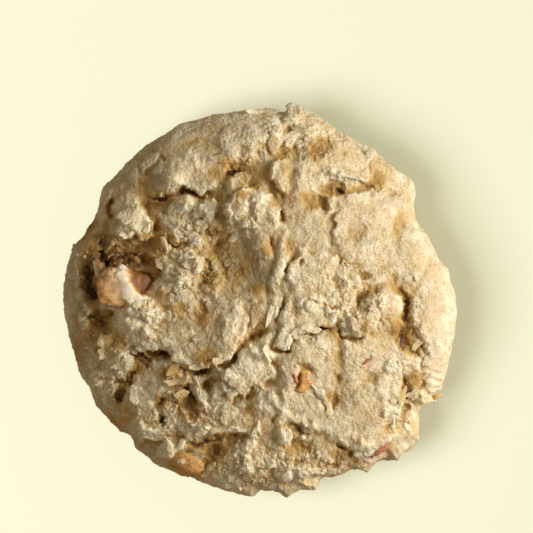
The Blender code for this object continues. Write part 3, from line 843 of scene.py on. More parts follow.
down = np.linspace(0, 1, SIDE_RINGS)[:, None]
border_coarse = top_coarse[border_row, border_column][None]
side_coarse = border_coarse + (0.60 - border_coarse) * ramp(down, 0.0, 0.4)
side_relief = crumb_relief(side.reshape(-1, 3), side_coarse.ravel()).reshape(side_coarse.shape)
side_relief -= 0.8 * ramp(clouds(side, 4.5, 138, 2), 0.0, 0.8) * ramp(down, 0.05, 0.40)
side_relief *= 1 - 0.75 * ramp(down, 0.7, 1.0)
side_final = side + side_out[None] * side_relief[..., None]
final_normals = grid_normals(top_final)


# %% [markdown]
# ## Tones
# The crust isn't one colour. It is pinkish by the fruit, and yellow in places, partly as a painted
# glow of light through thin dough. Soft spots, at the places where the picture shows them, carry
# this as numbers at each point of the mesh. Some of them are painted light: the grey and brown
# spots are painted shade, the ochre spots are partly painted warm shade in valleys and pits, and
# the pale spots are partly painted highlight. Painted shade in the hollows and painted highlight
# on the crests are carried the same way.

# %% Spots of each tone: middle in picture pixels, half length, half width, turn, strength
# Spots where most of the hollows' painted shade is taken out again, as grey painted shade covers it
# there
NO_HOLLOW_SHADE_SPOTS = dict(grey_hollow=(250, 266, 34, 26, 80, 1.0))
PINK_SPOTS = dict(
    beside_centre_fruit=(287, 384, 15, 14, 0, 1.0), red_fleck=(366, 360, 9, 7, 0, 0.7),
    skin=(376, 449, 18, 10, 20, 0.9), left_fruit=(124, 290, 24, 20, 0, 0.8),
    crack_patch=(290, 199, 11, 7, 0, 1.0), pink_plate=(392, 305, 20, 26, 0, 0.5),
    upper_right=(348, 225, 22, 16, 0, 0.35), right_rim=(436, 325, 66, 24, 88, 0.2),
    lower_right=(388, 400, 46, 20, 80, 0.25), lower_left_fruit=(188, 468, 26, 10, -15, 0.6),
    bottom=(330, 470, 30, 10, 10, 0.3),
)
# Ochre: partly yellow crumb, partly painted warm shade in valleys, pits, cavities and gaps
OCHRE_AND_SHADE_SPOTS = dict(
    valley=(256, 182, 30, 15, -50, 1.0), right_of_mass=(382, 176, 24, 14, -60, 0.8),
    orange_hollow=(318, 146, 10, 8, 0, 1.0), yellow_lump=(364, 322, 16, 14, 0, 0.9),
    cavity=(341, 192, 22, 5, 5, 0.7), pit=(322, 203, 16, 6, -8, 0.9),
    star_pit=(220, 248, 14, 14, 0, 0.7), knob=(186, 268, 16, 12, 0, 0.6),
    olive_pit=(292, 252, 8, 8, 0, 0.9), right_spots=(402, 219, 8, 10, 0, 1.0),
    orange_spot=(394, 429, 6, 5, 0, 1.0), gap=(341, 318, 14, 6, 80, 0.5),
    lower_left=(205, 420, 60, 16, 10, 0.35), bottom=(270, 460, 80, 24, 0, 0.3),
    left_heap=(112, 350, 20, 22, 0, 0.6), plate_end=(236, 336, 16, 26, -40, 0.5),
    top_edge=(250, 150, 40, 14, 10, 0.4), right_cavity=(408, 388, 14, 14, 0, 0.8),
    edge_corner=(412, 425, 10, 24, 0, 0.6), hole_lump=(287, 435, 12, 12, 0, 0.7),
    mass=(335, 150, 36, 24, -30, 0.35), left_chunk=(126, 216, 18, 16, 0, 0.45),
    olive_pit_b=(312, 202, 14, 9, 0, 0.9), soft_gap=(259, 329, 13, 6, 30, 0.9),
)
# Grey: painted shade on slopes, walls and dips that face away from the window
GREY_SHADE_SPOTS = dict(
    grey_hollow=(254, 266, 36, 25, 84, 1.0), left_of_middle=(226, 280, 36, 26, 80, 0.9),
    left_plate=(205, 345, 26, 14, 0, 0.8), middle=(305, 232, 30, 30, 0, 0.20),
    left_wall=(84, 300, 80, 16, 88, 0.8), top_left_crust=(150, 170, 60, 16, 48, 0.35),
    lower_left_wall=(120, 430, 60, 14, -40, 0.6), big_dark_hole=(188, 402, 13, 9, 105, 1.0),
    smooth_lump=(201, 446, 9, 9, 0, 1.0), hollow_purple=(158, 200, 16, 12, 0, 0.7),
    above_middle=(216, 234, 15, 13, 0, 0.8), crust_grey=(214, 160, 20, 14, 0, 0.6),
    crust_left=(144, 180, 24, 18, 30, 1.0), upper_dip=(355, 236, 16, 13, 0, 0.7),
    upper_east=(402, 244, 12, 28, 0, 0.7), plate_grey=(340, 385, 14, 24, 0, 0.8),
    plate_grey_b=(384, 393, 13, 11, 0, 0.4), plate_low=(212, 350, 15, 9, 0, 1.0),
    west_low=(180, 318, 24, 12, 0, 0.9), chunk_west=(118, 221, 10, 10, 0, 0.6),
    east_band=(405, 278, 28, 8, 10, 0.6), east_rim=(425, 310, 8, 15, 0, 0.5),
    east_rim_b=(430, 350, 8, 22, 0, 0.7), plate_south=(190, 300, 26, 6, 0, 0.6),
    bottom_grey=(250, 478, 11, 8, 0, 1.0), crust_mid=(200, 194, 12, 13, 0, 0.7),
    valley_west=(218, 178, 14, 9, -20, 0.8), bright_foot=(296, 206, 22, 7, 0, 0.5),
    ridge_west=(265, 250, 8, 12, 0, 0.7), plate_west=(288, 248, 7, 9, 0, 0.8),
    wall_low=(113, 392, 10, 16, -30, 0.6), tongue_east=(340, 343, 9, 12, 0, 0.7),
    valley_north=(394, 286, 14, 9, -30, 0.9), valley_foot=(396, 346, 12, 10, 0, 0.7),
    plate_mid=(368, 390, 14, 9, 0, 0.6), south_low=(308, 460, 10, 8, 0, 0.5),
    valley_end=(282, 205, 9, 8, 0, 0.8), star_side=(214, 210, 9, 8, 0, 0.8),
    north_middle=(222, 250, 22, 15, 0, 0.8), corner_mid=(345, 241, 8, 9, 0, 0.8),
    tongue_grey=(308, 331, 12, 5, -15, 0.8), south_rim=(285, 485, 8, 6, 0, 0.8),
    chunk_east=(126, 224, 9, 9, 0, 0.5), crust_west=(135, 177, 13, 10, 0, 0.6),
    crest_west=(228, 153, 9, 8, 0, 0.8), west_low_rim=(114, 405, 12, 16, -40, 0.7),
    west_low_rim_b=(143, 423, 9, 6, 0, 0.7), corner_top=(396, 201, 12, 9, 0, 0.6),
    east_edge=(437, 300, 9, 40, 0, 0.5), crest_north=(225, 128, 16, 7, 0, 0.7),
    west_side_b=(155, 160, 10, 14, 30, 0.5), diagonal=(238, 268, 12, 34, 42, 0.7),
    west_rim_c=(108, 392, 8, 16, -20, 0.7), middle_west=(212, 262, 46, 26, -20, 0.35),
    middle_south=(222, 288, 26, 12, 0, 0.5), west_upper=(168, 225, 16, 10, 0, 0.6),
    west_upper_b=(122, 220, 12, 12, 0, 0.6), round_west=(170, 176, 9, 9, 0, 0.5),
    plate_corner_b=(368, 422, 11, 9, 0, 0.6), plate_north_b=(205, 342, 18, 9, 0, 0.6),
    gap_north=(263, 326, 6, 16, 0, 0.5),
)
# Brown: painted shade in gaps, holes and on the shaded left wall; they raise the hollows' painted
# shade
BROWN_SHADE_SPOTS = dict(
    left_wall=(90, 283, 24, 8, 100, 0.9), left_foot=(78, 350, 26, 9, 70, 0.35),
    below_chunk=(124, 252, 20, 9, 10, 0.45), over_fruit=(130, 260, 28, 8, -2, 1.0),
    fruit_wall=(186, 470, 18, 5, -20, 0.55), upper_left_gap=(160, 201, 16, 10, 10, 0.45),
    big_dark_hole=(187, 399, 13, 8, 105, 0.8), cavity=(328, 191, 9, 4, 5, 0.55),
    right_cavity=(406, 386, 12, 6, 75, 0.5), beside_centre_fruit=(304, 367, 9, 5, -25, 0.55),
    centre_fruit_slot=(298, 378, 11, 3.5, 80, 0.50), lower_left_rim=(112, 424, 26, 8, -48, 0.35),
    left_wall_b=(100, 248, 14, 7, 70, 0.75), left_wall_c=(98, 326, 16, 10, 60, 0.6),
    right_valley=(402, 334, 20, 11, -60, 0.65), lower_step=(214, 449, 13, 11, 0, 0.8),
    crust_hole=(232, 174, 9, 5, 15, 0.75), left_gap=(141, 364, 10, 8, 60, 0.55),
    dark_gaps=(214, 282, 11, 10, 85, 0.5), orange_hollow=(316, 152, 11, 10, 70, 0.6),
    above_middle=(215, 234, 9, 8, 0, 0.6), west_gap=(160, 238, 18, 7, -10, 0.5),
    olive_corner=(307, 199, 9, 6, 0, 0.35), under_plate=(207, 355, 12, 9, 0, 0.6),
    under_curl=(182, 386, 9, 15, -15, 0.6), mid_low=(250, 407, 7, 6, 0, 0.4),
    wall_gap_d=(117, 342, 8, 8, 0, 0.6), lower_wall=(124, 408, 17, 6, -45, 0.3),
    west_edge=(84, 228, 16, 9, 60, 0.9), tongue_foot=(332, 328, 8, 7, 0, 0.45),
    mid_grey=(236, 252, 9, 12, 20, 0.25), left_groove=(186, 401, 9, 11, 0, 0.9),
    valley_left=(219, 177, 13, 7, -20, 0.5), middle_dip=(286, 170, 7, 9, 0, 0.3),
    plate_dip=(333, 395, 8, 8, 0, 0.6), lower_crack=(342, 454, 13, 6, -20, 0.5),
    lower_gap=(293, 449, 8, 6, 0, 0.4), top_cavity=(270, 148, 11, 6, 0, 0.35),
    grey_foot=(257, 290, 8, 7, 0, 0.5), dark_gap_b=(203, 316, 8, 9, 0, 0.7),
    lower_step_b=(214, 459, 13, 6, 0, 0.6), east_cavity=(416, 378, 7, 8, 0, 0.6),
    over_cut=(141, 264, 14, 5, 5, 1.0), chunk_east=(151, 249, 14, 8, 15, 0.6),
    crust_hole_b=(226, 165, 10, 6, 0, 0.4), valley_mid=(253, 173, 8, 6, 0, 0.35),
    cavity_north=(277, 155, 10, 5, 0, 0.5), pit_foot=(314, 206, 9, 6, 0, 0.4),
    cavity_heart=(335, 193, 8, 4, 0, 0.6), grey_centre=(243, 270, 8, 16, -25, 0.4),
    cut_foot=(168, 295, 7, 6, 0, 0.5), west_low=(179, 309, 8, 6, 0, 0.4),
    valley_north=(394, 287, 11, 7, -30, 0.35), left_groove_b=(162, 401, 6, 9, 0, 0.7),
    lower_step_c=(221, 434, 10, 5, 0, 0.8), rim_cavity=(404, 393, 6, 7, 0, 0.6),
    fruit_gap=(107, 317, 9, 8, 0, 0.6), west_wall=(92, 256, 10, 9, 60, 1.0),
    west_wall_b=(78, 233, 8, 10, 60, 0.5), west_wall_c=(106, 240, 9, 9, 0, 0.6),
    north_middle=(215, 255, 14, 10, 0, 0.35), middle_seam=(258, 311, 5, 20, 0, 0.35),
    ridge_west=(265, 250, 6, 10, 0, 0.35), plate_west=(289, 248, 6, 8, 0, 0.35),
    soft_hollow=(205, 371, 10, 7, 0, 0.5), valley_end=(275, 205, 7, 6, 0, 0.35),
    right_recess=(376, 180, 8, 8, 0, 0.5), fruit_west=(108, 278, 7, 10, 0, 0.9),
    above_cut=(141, 265, 8, 5, 0, 1.0), under_chunk=(104, 244, 9, 8, 0, 0.9),
    under_bump=(213, 233, 9, 6, 0, 0.6), curl_foot=(171, 373, 9, 7, 0, 0.8),
    gap_seam=(362, 325, 4, 7, 0, 0.8), valley_heart=(250, 178, 7, 18, -40, 0.3),
    fruit_west_b=(110, 274, 8, 12, 0, 0.9), gap_a=(162, 253, 6, 6, 0, 0.6),
    gap_b=(181, 247, 8, 6, 0, 0.5), gap_c=(284, 154, 8, 6, 0, 0.5), gap_d=(188, 447, 5, 5, 0, 0.7),
    knob_gap=(243, 196, 5, 6, 0, 0.5),
)
# Pale: partly paler dry crust, partly painted highlight on slopes, crests and rims that face the
# window
PALE_AND_HIGHLIGHT_SPOTS = dict(
    left_chunk=(142, 222, 12, 16, 20, 0.9), left_plate_left=(138, 322, 20, 14, 0, 0.9),
    plate_end=(233, 328, 14, 16, 0, 0.8), pale_top=(259, 353, 18, 13, 0, 0.95),
    knob=(284, 120, 10, 12, 0, 1.0), ridge_east=(282, 262, 24, 10, 75, 0.7),
    bright_plate=(256, 201, 18, 12, -30, 0.9), top=(282, 126, 24, 17, 85, 0.9),
    valley_side=(264, 196, 16, 8, 80, 0.8), cavity_roof=(344, 180, 22, 8, -16, 1.0),
    lower_mid=(274, 440, 22, 10, 85, 0.7), corner=(370, 450, 12, 8, 0, 1.0),
    hole_lump=(283, 434, 9, 9, 0, 1.0), rim_low=(416, 378, 16, 10, 80, 0.6),
    step_lump=(208, 421, 16, 8, 5, 0.7), yellow_lump=(366, 318, 12, 10, 0, 0.7),
    pebble=(172, 445, 10, 12, 0, 1.0), right_edge=(450, 320, 70, 12, 88, 0.9),
    top_edge=(200, 121, 80, 8, 18, 0.9), bottom_lump=(288, 472, 14, 10, 0, 0.6),
    pale_plate=(258, 366, 20, 19, 0, 1.0), low_pale=(232, 374, 18, 17, 0, 1.0),
    below_pale=(268, 390, 12, 11, 0, 0.7), round_rim=(178, 192, 9, 16, 0, 0.8),
    knob_west=(182, 282, 12, 10, 0, 1.0), pit_side=(328, 206, 8, 9, 0, 0.6),
    centre_low=(314, 303, 18, 9, -10, 1.0), gap_lump=(353, 315, 9, 14, 15, 1.0),
    right_mid=(379, 302, 8, 11, 0, 0.7), east_mid=(405, 300, 6, 12, 0, 0.6),
    wall_lump=(158, 329, 9, 12, 0, 0.9), plate_foot=(271, 336, 8, 12, 0, 0.6),
    lower_plate_mid=(308, 408, 12, 14, 0, 0.7), left_edge=(68, 325, 75, 7, 95, 0.8),
    lower_left_edge=(95, 395, 26, 8, -60, 0.7), bottom_mid=(276, 462, 14, 16, 0, 0.7),
    bottom_west=(236, 445, 10, 9, 0, 0.9), low_edge=(232, 478, 12, 8, 0, 0.7),
    low_edge_b=(300, 476, 10, 10, 0, 0.7), plate_east=(390, 378, 9, 11, 0, 0.6),
    edge_corner=(409, 412, 8, 9, 0, 0.9), west_bright=(192, 222, 10, 9, 0, 0.8),
    knob_low=(228, 195, 8, 9, 0, 0.7), valley_top=(250, 147, 14, 10, 0, 1.0),
    middle_lump=(298, 173, 9, 9, 0, 0.7), rim_hook=(392, 187, 9, 7, 0, 0.7),
    plate_top=(297, 252, 9, 8, 0, 0.8), low_right=(284, 403, 19, 15, -30, 0.9),
    fruit_foot=(136, 309, 14, 10, -20, 1.0), flap=(347, 281, 9, 8, 0, 0.9),
    crest=(234, 142, 13, 10, 70, 1.0), bump_top=(194, 162, 9, 9, 0, 0.9),
    valley_east=(267, 163, 11, 11, 0, 1.0), north_mid=(301, 155, 8, 16, 0, 0.7),
    cavity_west=(334, 175, 10, 8, 0, 1.0), cavity_east=(356, 186, 8, 9, 0, 0.9),
    middle_bright=(237, 227, 10, 10, 0, 0.7), middle_seam=(278, 330, 8, 14, 0, 0.8),
    east_seam=(275, 352, 10, 12, 0, 0.7), west_seam=(228, 360, 11, 20, 5, 0.9),
    low_west=(217, 377, 10, 12, 0, 1.0), low_mid=(226, 396, 18, 9, -10, 1.0),
    south_centre=(270, 396, 20, 15, -20, 1.0), hole_north=(305, 420, 12, 8, 0, 0.9),
    south=(277, 452, 8, 18, 0, 0.9), west_foot=(96, 376, 10, 16, 0, 0.9),
    south_west=(131, 434, 9, 8, 0, 0.8), cut_side=(159, 282, 6, 12, 0, 0.7),
    lower_plate_west=(278, 368, 8, 18, 0, 0.8), top_middle=(258, 138, 12, 14, 0, 0.9),
    west_mid=(146, 396, 9, 14, -30, 0.8), centre_west=(297, 298, 9, 12, 0, 0.8),
    flap_top=(361, 270, 10, 6, 0, 0.7), plate_rim=(391, 388, 9, 16, 0, 0.9),
    plate_corner=(397, 416, 9, 11, 0, 0.9), gap_middle=(345, 312, 8, 14, 0, 0.8),
    run_foot=(141, 322, 9, 9, 0, 1.0), top_rim=(225, 116, 60, 8, 8, 1.0),
    plate_gap=(270, 353, 20, 8, 0, 1.0), mid_low=(228, 386, 10, 9, 0, 1.0),
    south_b=(254, 463, 9, 12, 0, 1.0), south_mid=(290, 414, 10, 8, 0, 1.0),
    west_low_lump=(176, 452, 9, 13, 0, 1.0), south_rim=(300, 474, 24, 8, 0, 1.0),
    gap_side=(348, 320, 8, 22, 0, 1.0), plate_gap_b=(395, 364, 9, 7, 0, 0.8),
    wall_knob_f=(116, 256, 9, 5, 0, 0.7), bright_mid=(236, 228, 9, 9, 0, 0.9),
    valley_side_b=(263, 209, 8, 9, 0, 0.9), cliff_west=(157, 353, 12, 7, -20, 0.7),
    gap_east=(356, 308, 9, 10, 0, 0.8), low_middle=(236, 446, 10, 8, 0, 0.8),
    low_rim=(234, 478, 10, 8, 0, 0.9), below_plate=(272, 384, 24, 8, 0, 1.0),
    crest_south=(243, 144, 12, 11, 0, 1.0), top_knob_b=(285, 119, 8, 11, 0, 1.0),
    beside_cut_b=(156, 273, 8, 9, 0, 0.9), south_c=(276, 450, 9, 26, 0, 1.0),
    south_d=(298, 477, 9, 10, 0, 1.0), south_e=(268, 412, 17, 12, 0, 0.8),
    edge_corner_b=(404, 410, 9, 14, 20, 1.0), plate_low=(315, 398, 14, 8, 0, 0.8),
    left_heap_b=(120, 366, 13, 7, 0, 0.7), plate_tip=(232, 344, 7, 12, 0, 0.8),
)


def spots_on(points, spots):
    """From 0 to 1: the strongest spot at each point, fading as exp(-q^1.2) over its edge."""
    x, y = points[..., 0], points[..., 1]
    flat = level(x, y)
    x, y = x + 0.8 * clouds(flat, 2.0, 104, 2), y + 0.8 * clouds(flat, 2.0, 109, 2)
    strength = np.zeros_like(x)
    for spot in spots.values():
        strength = np.maximum(strength, spot[5] * np.exp(-(turned_ellipse(x, y, spot) ** 1.2)))
    return strength


def tones_at(points):
    """Pink, ochre that is partly painted shade, and grey that is painted shade, as the red, green
    and blue of a colour attribute.
    """
    tones = [spots_on(points, spots) for spots in (PINK_SPOTS, OCHRE_AND_SHADE_SPOTS, GREY_SHADE_SPOTS)]
    return np.stack([*tones, np.ones(points.shape[:-1])], axis=-1)


# %% How low and how high each point lies in its surroundings
top_lift = top_final[..., 2] - top_plain
top_low = top_lift - blurred(top_lift, 7)
top_deep = top_lift - blurred(top_lift, 27)
# Painted shade: the lower a point lies in its surroundings, the browner and darker it is painted,
# partly the browner crumb inside. Brown spots add painted shade and pale spots lessen it.
top_hollow = np.clip(-0.60 * top_low - 0.30 * top_deep, 0, 1)
top_hollow *= 1 - 0.85 * spots_on(top_final, NO_HOLLOW_SHADE_SPOTS)
top_hollow *= 1 - 0.6 * spots_on(top_final, PALE_AND_HIGHLIGHT_SPOTS)
top_hollow = np.maximum(top_hollow, spots_on(top_final, BROWN_SHADE_SPOTS))
# Painted highlight: points higher than their surroundings are painted paler
top_ridge = np.clip(2.8 * (top_low - 0.03), 0, 1)
# Painted shade in the side's dents
side_hollow = np.clip(-0.9 * side_relief - 0.1, 0, 1) * ramp(down, 0.0, 0.2)
print("deepest hollow against its surroundings:", top_deep.min().round(2), "mm")

# %% [markdown]
# ## From arrays to mesh pieces
# Each finished piece's object stays at the origin, unturned, and its place is in its mesh, so that
# a pattern on Object coordinates keeps its size and place wherever the piece is used.

# %% Make a piece


def make_piece(name, points, faces, material, **attributes):
    """A mesh object from points in mm, a list of arrays of faces, and values for its points."""
    mesh = bpy.data.meshes.new(name)
    corners = [face for group in faces for face in group.tolist()]
    mesh.from_pydata((points * MM).tolist(), [], corners)
    for key, values in attributes.items():
        kind = "FLOAT" if values.ndim == 1 else "FLOAT_COLOR"
        layer = mesh.attributes.new(key, kind, "POINT")
        flat = values.astype(np.float32).ravel()
        layer.data.foreach_set("value" if values.ndim == 1 else "color", flat)
    mesh.materials.append(material)
    mesh.polygons.foreach_set("use_smooth", np.ones(len(corners), bool))
    mesh.update()
    mesh.validate()
    obj = bpy.data.objects.new(name, mesh)
    bpy.context.scene.collection.objects.link(obj)
    triangles = sum(len(face) - 2 for face in corners)
    low, high = points.min(axis=0).round(1), points.max(axis=0).round(1)
    print(name, "has", triangles, "triangles, from", low.tolist(), "to", high.tolist(), "mm")
    return obj


# %% [markdown]
# ## The baked dough's finish
# Dry crust is pale cream with a matt, slightly scattering skin. Where it broke, the crumb inside is
# moist and ochre brown, and light that enters there comes back yellow. The hollows are known from
# the shape, as an attribute, and are painted ochre to dark brown: painted shade, partly the browner
# crumb inside, so the painted shade follows them from every side. The crests are painted paler, as
# painted highlight.

# %% Helpers for materials


def material_named(name):
    """A material and its node tree."""
    material = bpy.data.materials.new(name)
    material.use_nodes = True
    return material, material.node_tree


def tint(red, green, blue):
    """A colour from the three numbers that a picture stores, made linear for the shader."""
    stored = np.array([red, green, blue]) / 255.0
    linear = np.where(stored <= 0.04045, stored / 12.92, ((stored + 0.055) / 1.055) ** 2.4)
    return (*linear.tolist(), 1.0)


def mixed(tree, factor, first, second, blend="MIX"):
    """A Mix node of two colours. Each is a colour or another node's output."""
    mix = tree.nodes.new("ShaderNodeMix")
    mix.data_type = "RGBA"
    mix.blend_type = blend
    for number, value in zip((0, 6, 7), (factor, first, second)):
        if isinstance(value, bpy.types.NodeSocket):
            tree.links.new(value, mix.inputs[number])
        else:
            mix.inputs[number].default_value = value
    return mix.outputs[2]


def noise_of(tree, size_mm, detail=3.0, roughness=0.55, stretch=(1, 1, 1)):
    """A noise pattern on Object coordinates whose features are about that many mm."""
    coordinates = tree.nodes.new("ShaderNodeTexCoord")
    mapping = tree.nodes.new("ShaderNodeMapping")
    mapping.inputs["Scale"].default_value = stretch
    noise = tree.nodes.new("ShaderNodeTexNoise")
    noise.inputs["Scale"].default_value = 1 / (size_mm * MM)
    noise.inputs["Detail"].default_value = detail
    noise.inputs["Roughness"].default_value = roughness
    tree.links.new(coordinates.outputs["Object"], mapping.inputs["Vector"])
    tree.links.new(mapping.outputs["Vector"], noise.inputs["Vector"])
    return noise.outputs["Fac"]


def pits_of(tree, size_mm):
    """A sponge pattern on Object coordinates: cells about that many mm wide, low in their middles,
    with walls that noise bends. It is a Voronoi distance read at a noisily moved place."""
    coordinates = tree.nodes.new("ShaderNodeTexCoord")
    noise = tree.nodes.new("ShaderNodeTexNoise")
    noise.inputs["Scale"].default_value = 1 / (0.9 * size_mm * MM)
    noise.inputs["Detail"].default_value = 2.0
    moved = tree.nodes.new("ShaderNodeVectorMath")
    moved.operation = "MULTIPLY_ADD"
    moved.inputs[1].default_value = (1.2 * size_mm * MM,) * 3
    cells = tree.nodes.new("ShaderNodeTexVoronoi")
    cells.inputs["Scale"].default_value = 1 / (size_mm * MM)
    tree.links.new(coordinates.outputs["Object"], noise.inputs["Vector"])
    tree.links.new(noise.outputs["Color"], moved.inputs[0])
    tree.links.new(coordinates.outputs["Object"], moved.inputs[2])
    tree.links.new(moved.outputs["Vector"], cells.inputs["Vector"])
    return cells.outputs["Distance"]


def between(tree, value, low, high, to_low=0.0, to_high=1.0):
    """The value's place between low and high, kept from to_low to to_high."""
    spread = tree.nodes.new("ShaderNodeMapRange")
    limits = {"From Min": low, "From Max": high, "To Min": to_low, "To Max": to_high}
    for name, number in limits.items():
        spread.inputs[name].default_value = number
    tree.links.new(value, spread.inputs["Value"])
    return spread.outputs["Result"]


def attribute_of(tree, name, part=None):
    """The output of an attribute of the mesh, or one part of its colour."""
    attribute = tree.nodes.new("ShaderNodeAttribute")
    attribute.attribute_name = name
    if part is None:
        return attribute.outputs["Fac"]
    parts = tree.nodes.new("ShaderNodeSeparateColor")
    tree.links.new(attribute.outputs["Color"], parts.inputs["Color"])
    return parts.outputs[part]


def scaled(tree, first, second, operation="MULTIPLY"):
    """A Math node of two numbers or outputs."""
    math_node = tree.nodes.new("ShaderNodeMath")
    math_node.operation = operation
    for number, value in enumerate((first, second)):
        if isinstance(value, bpy.types.NodeSocket):
            tree.links.new(value, math_node.inputs[number])
        else:
            math_node.inputs[number].default_value = value
    return math_node.outputs[0]


def add_bump(tree, shader, layers):
    """Bump nodes one after another, for (pattern, depth in mm, strength) layers."""
    last = None
    for pattern, depth_mm, strength in layers:
        bump = tree.nodes.new("ShaderNodeBump")
        bump.inputs["Strength"].default_value = strength
        bump.inputs["Distance"].default_value = depth_mm * MM
        tree.links.new(pattern, bump.inputs["Height"])
        if last:
            tree.links.new(last, bump.inputs["Normal"])
        last = bump.outputs["Normal"]
    tree.links.new(last, shader.inputs["Normal"])


# %% The dough's material
# Grey is painted shade; the crumb browns are painted shade and partly crumb colour; ochre is partly
# painted shade; pale is also painted highlight
CRUST = tint(231, 212, 173)
CRUST_PALE_AND_HIGHLIGHT = tint(247, 239, 214)
CRUST_TAN = tint(206, 178, 124)
CRUST_PINK = tint(222, 172, 136)
CRUST_OCHRE_AND_SHADE = tint(210, 174, 98)
GREY_SHADE = tint(170, 150, 114)
CRUMB_AND_SHADE_OCHRE = tint(196, 162, 100)
CRUMB_AND_SHADE_BROWN = tint(160, 122, 66)
DEEP_SHADE_BROWN = tint(100, 68, 34)
BAKED_EDGE = tint(206, 168, 112)


def crumb_colour(tree):
    """The crust's colour: patches, tones with their painted shade and highlight, flecks, painted
    highlight on crests, painted shade in pores and in hollows, partly browner crumb there, and
    golden near the tray."""
    patches = between(tree, noise_of(tree, 3.4, 3.0, 0.6), 0.38, 0.62)
    colour = mixed(tree, patches, CRUST, CRUST_PALE_AND_HIGHLIGHT)
    # Pink, ochre partly painted warm shade, and grey painted shade
    for part, tone in (("Red", CRUST_PINK), ("Green", CRUST_OCHRE_AND_SHADE), ("Blue", GREY_SHADE)):
        strength = scaled(tree, attribute_of(tree, "tones", part), 0.75)
        colour = mixed(tree, strength, colour, tone)
    # Paler above 0.5, partly painted highlight from the pale spots; tan below 0.5
    tone = attribute_of(tree, "tone")
    colour = mixed(tree, between(tree, tone, 0.5, 1.0, 0.0, 0.85), colour, CRUST_PALE_AND_HIGHLIGHT)
    colour = mixed(tree, between(tree, tone, 0.5, 0.0, 0.0, 0.75), colour, CRUST_TAN)
    stains = between(tree, noise_of(tree, 2.0, 3.0, 0.55), 0.48, 0.68, 0.0, 0.6)
    colour = mixed(tree, stains, colour, CRUST_TAN)
    # Painted highlight: crests painted paler
    ridge = scaled(tree, attribute_of(tree, "ridge"), 0.85)
    colour = mixed(tree, ridge, colour, CRUST_PALE_AND_HIGHLIGHT)
    flecks = between(tree, noise_of(tree, 0.30, 2.0, 0.6), 0.30, 0.62, 0.0, 1.0)
    dots = mixed(tree, flecks, tint(222, 209, 184), tint(255, 255, 255))
    colour = mixed(tree, 1.0, colour, dots, "MULTIPLY")
    # Painted shade in the pores: their middles painted brown
    pits = between(tree, pits_of(tree, 0.6), 0.30, 0.05, 0.0, 0.50)
    colour = mixed(tree, pits, colour, CRUMB_AND_SHADE_BROWN)
    # Painted shade in hollows, ochre to dark brown, partly the browner crumb inside
    damp_crumb_and_shade = between(tree, attribute_of(tree, "hollow"), 0.02, 0.30)
    colour = mixed(tree, damp_crumb_and_shade, colour, CRUMB_AND_SHADE_OCHRE)
    moist_crumb_and_shade = between(tree, attribute_of(tree, "hollow"), 0.25, 0.65)
    colour = mixed(tree, moist_crumb_and_shade, colour, CRUMB_AND_SHADE_BROWN)
    deepest_shade = between(tree, attribute_of(tree, "hollow"), 0.60, 1.0)
    colour = mixed(tree, deepest_shade, colour, DEEP_SHADE_BROWN)
    coordinates = tree.nodes.new("ShaderNodeTexCoord")
    height = tree.nodes.new("ShaderNodeSeparateXYZ")
    tree.links.new(coordinates.outputs["Object"], height.inputs["Vector"])
    baked = between(tree, height.outputs["Z"], 0.006, 0.0, 0.0, 0.8)
    return mixed(tree, baked, colour, BAKED_EDGE)


CUT_NEAR = 0.8
CUT_FAR = 4.0
SCATTER_AT_CUT = 0.06


def scatter_off_cuts(tree, scatter_mm):
    """The scattering distance times a ramp of min(|x|, |y|), from SCATTER_AT_CUT at CUT_NEAR mm
    from a cut to 1 at CUT_FAR. So no light gets as far as the walls on which the dough's quarters
    meet, which would show as a thin dull line."""
    place = tree.nodes.new("ShaderNodeTexCoord")
    parts = tree.nodes.new("ShaderNodeSeparateXYZ")
    tree.links.new(place.outputs["Object"], parts.inputs["Vector"])
    sides = [scaled(tree, parts.outputs[axis], 0.5, "ABSOLUTE") for axis in ("X", "Y")]
    nearest = scaled(tree, *sides, "MINIMUM")
    full = scatter_mm * MM
    return between(tree, nearest, CUT_NEAR * MM, CUT_FAR * MM, SCATTER_AT_CUT * full, full)


def finish_like_dough(name, scatter_mm):
    """Baked dough: matt and scattering, with a fine porous bump."""
    material, tree = material_named(name)
    shader = tree.nodes["Principled BSDF"]
    tree.links.new(crumb_colour(tree), shader.inputs["Base Color"])
    sheen = noise_of(tree, 0.9, 2.0, 0.5)
    tree.links.new(between(tree, sheen, 0.35, 0.65, 0.85, 0.45), shader.inputs["Roughness"])
    shader.inputs["Specular IOR Level"].default_value = 0.35
    shader.inputs["Subsurface Weight"].default_value = 0.8
    shader.inputs["Subsurface Radius"].default_value = (1.0, 0.62, 0.30)
    tree.links.new(scatter_off_cuts(tree, scatter_mm), shader.inputs["Subsurface Scale"])
    fine = noise_of(tree, 0.36, 3.0, 0.6)
    rough_here = between(tree, noise_of(tree, 4.0, 2.0), 0.40, 0.60, 0.35, 1.3)
    pits = scaled(tree, pits_of(tree, 0.7), rough_here)
    fine = scaled(tree, fine, rough_here)
    add_bump(tree, shader, [(pits, 0.17, 1.0), (fine, 0.16, 1.0)])
    return material


dough_finish = finish_like_dough("baked_dough", 0.9)
thin_finish = finish_like_dough("thin_dough", 0.2)  # thin flakes would turn green with more

# %% [markdown]
# Crumb needs small faces, and one piece can only have so many. Crumb needs many small faces, so the
# dough is made in four quarters that share the points of their cuts. Each is closed by flat walls
# from its cuts to the middle of the foot. The cuts don't show, because the surface runs on from one
# quarter to the next, and each point keeps the direction that it has on the whole dough.

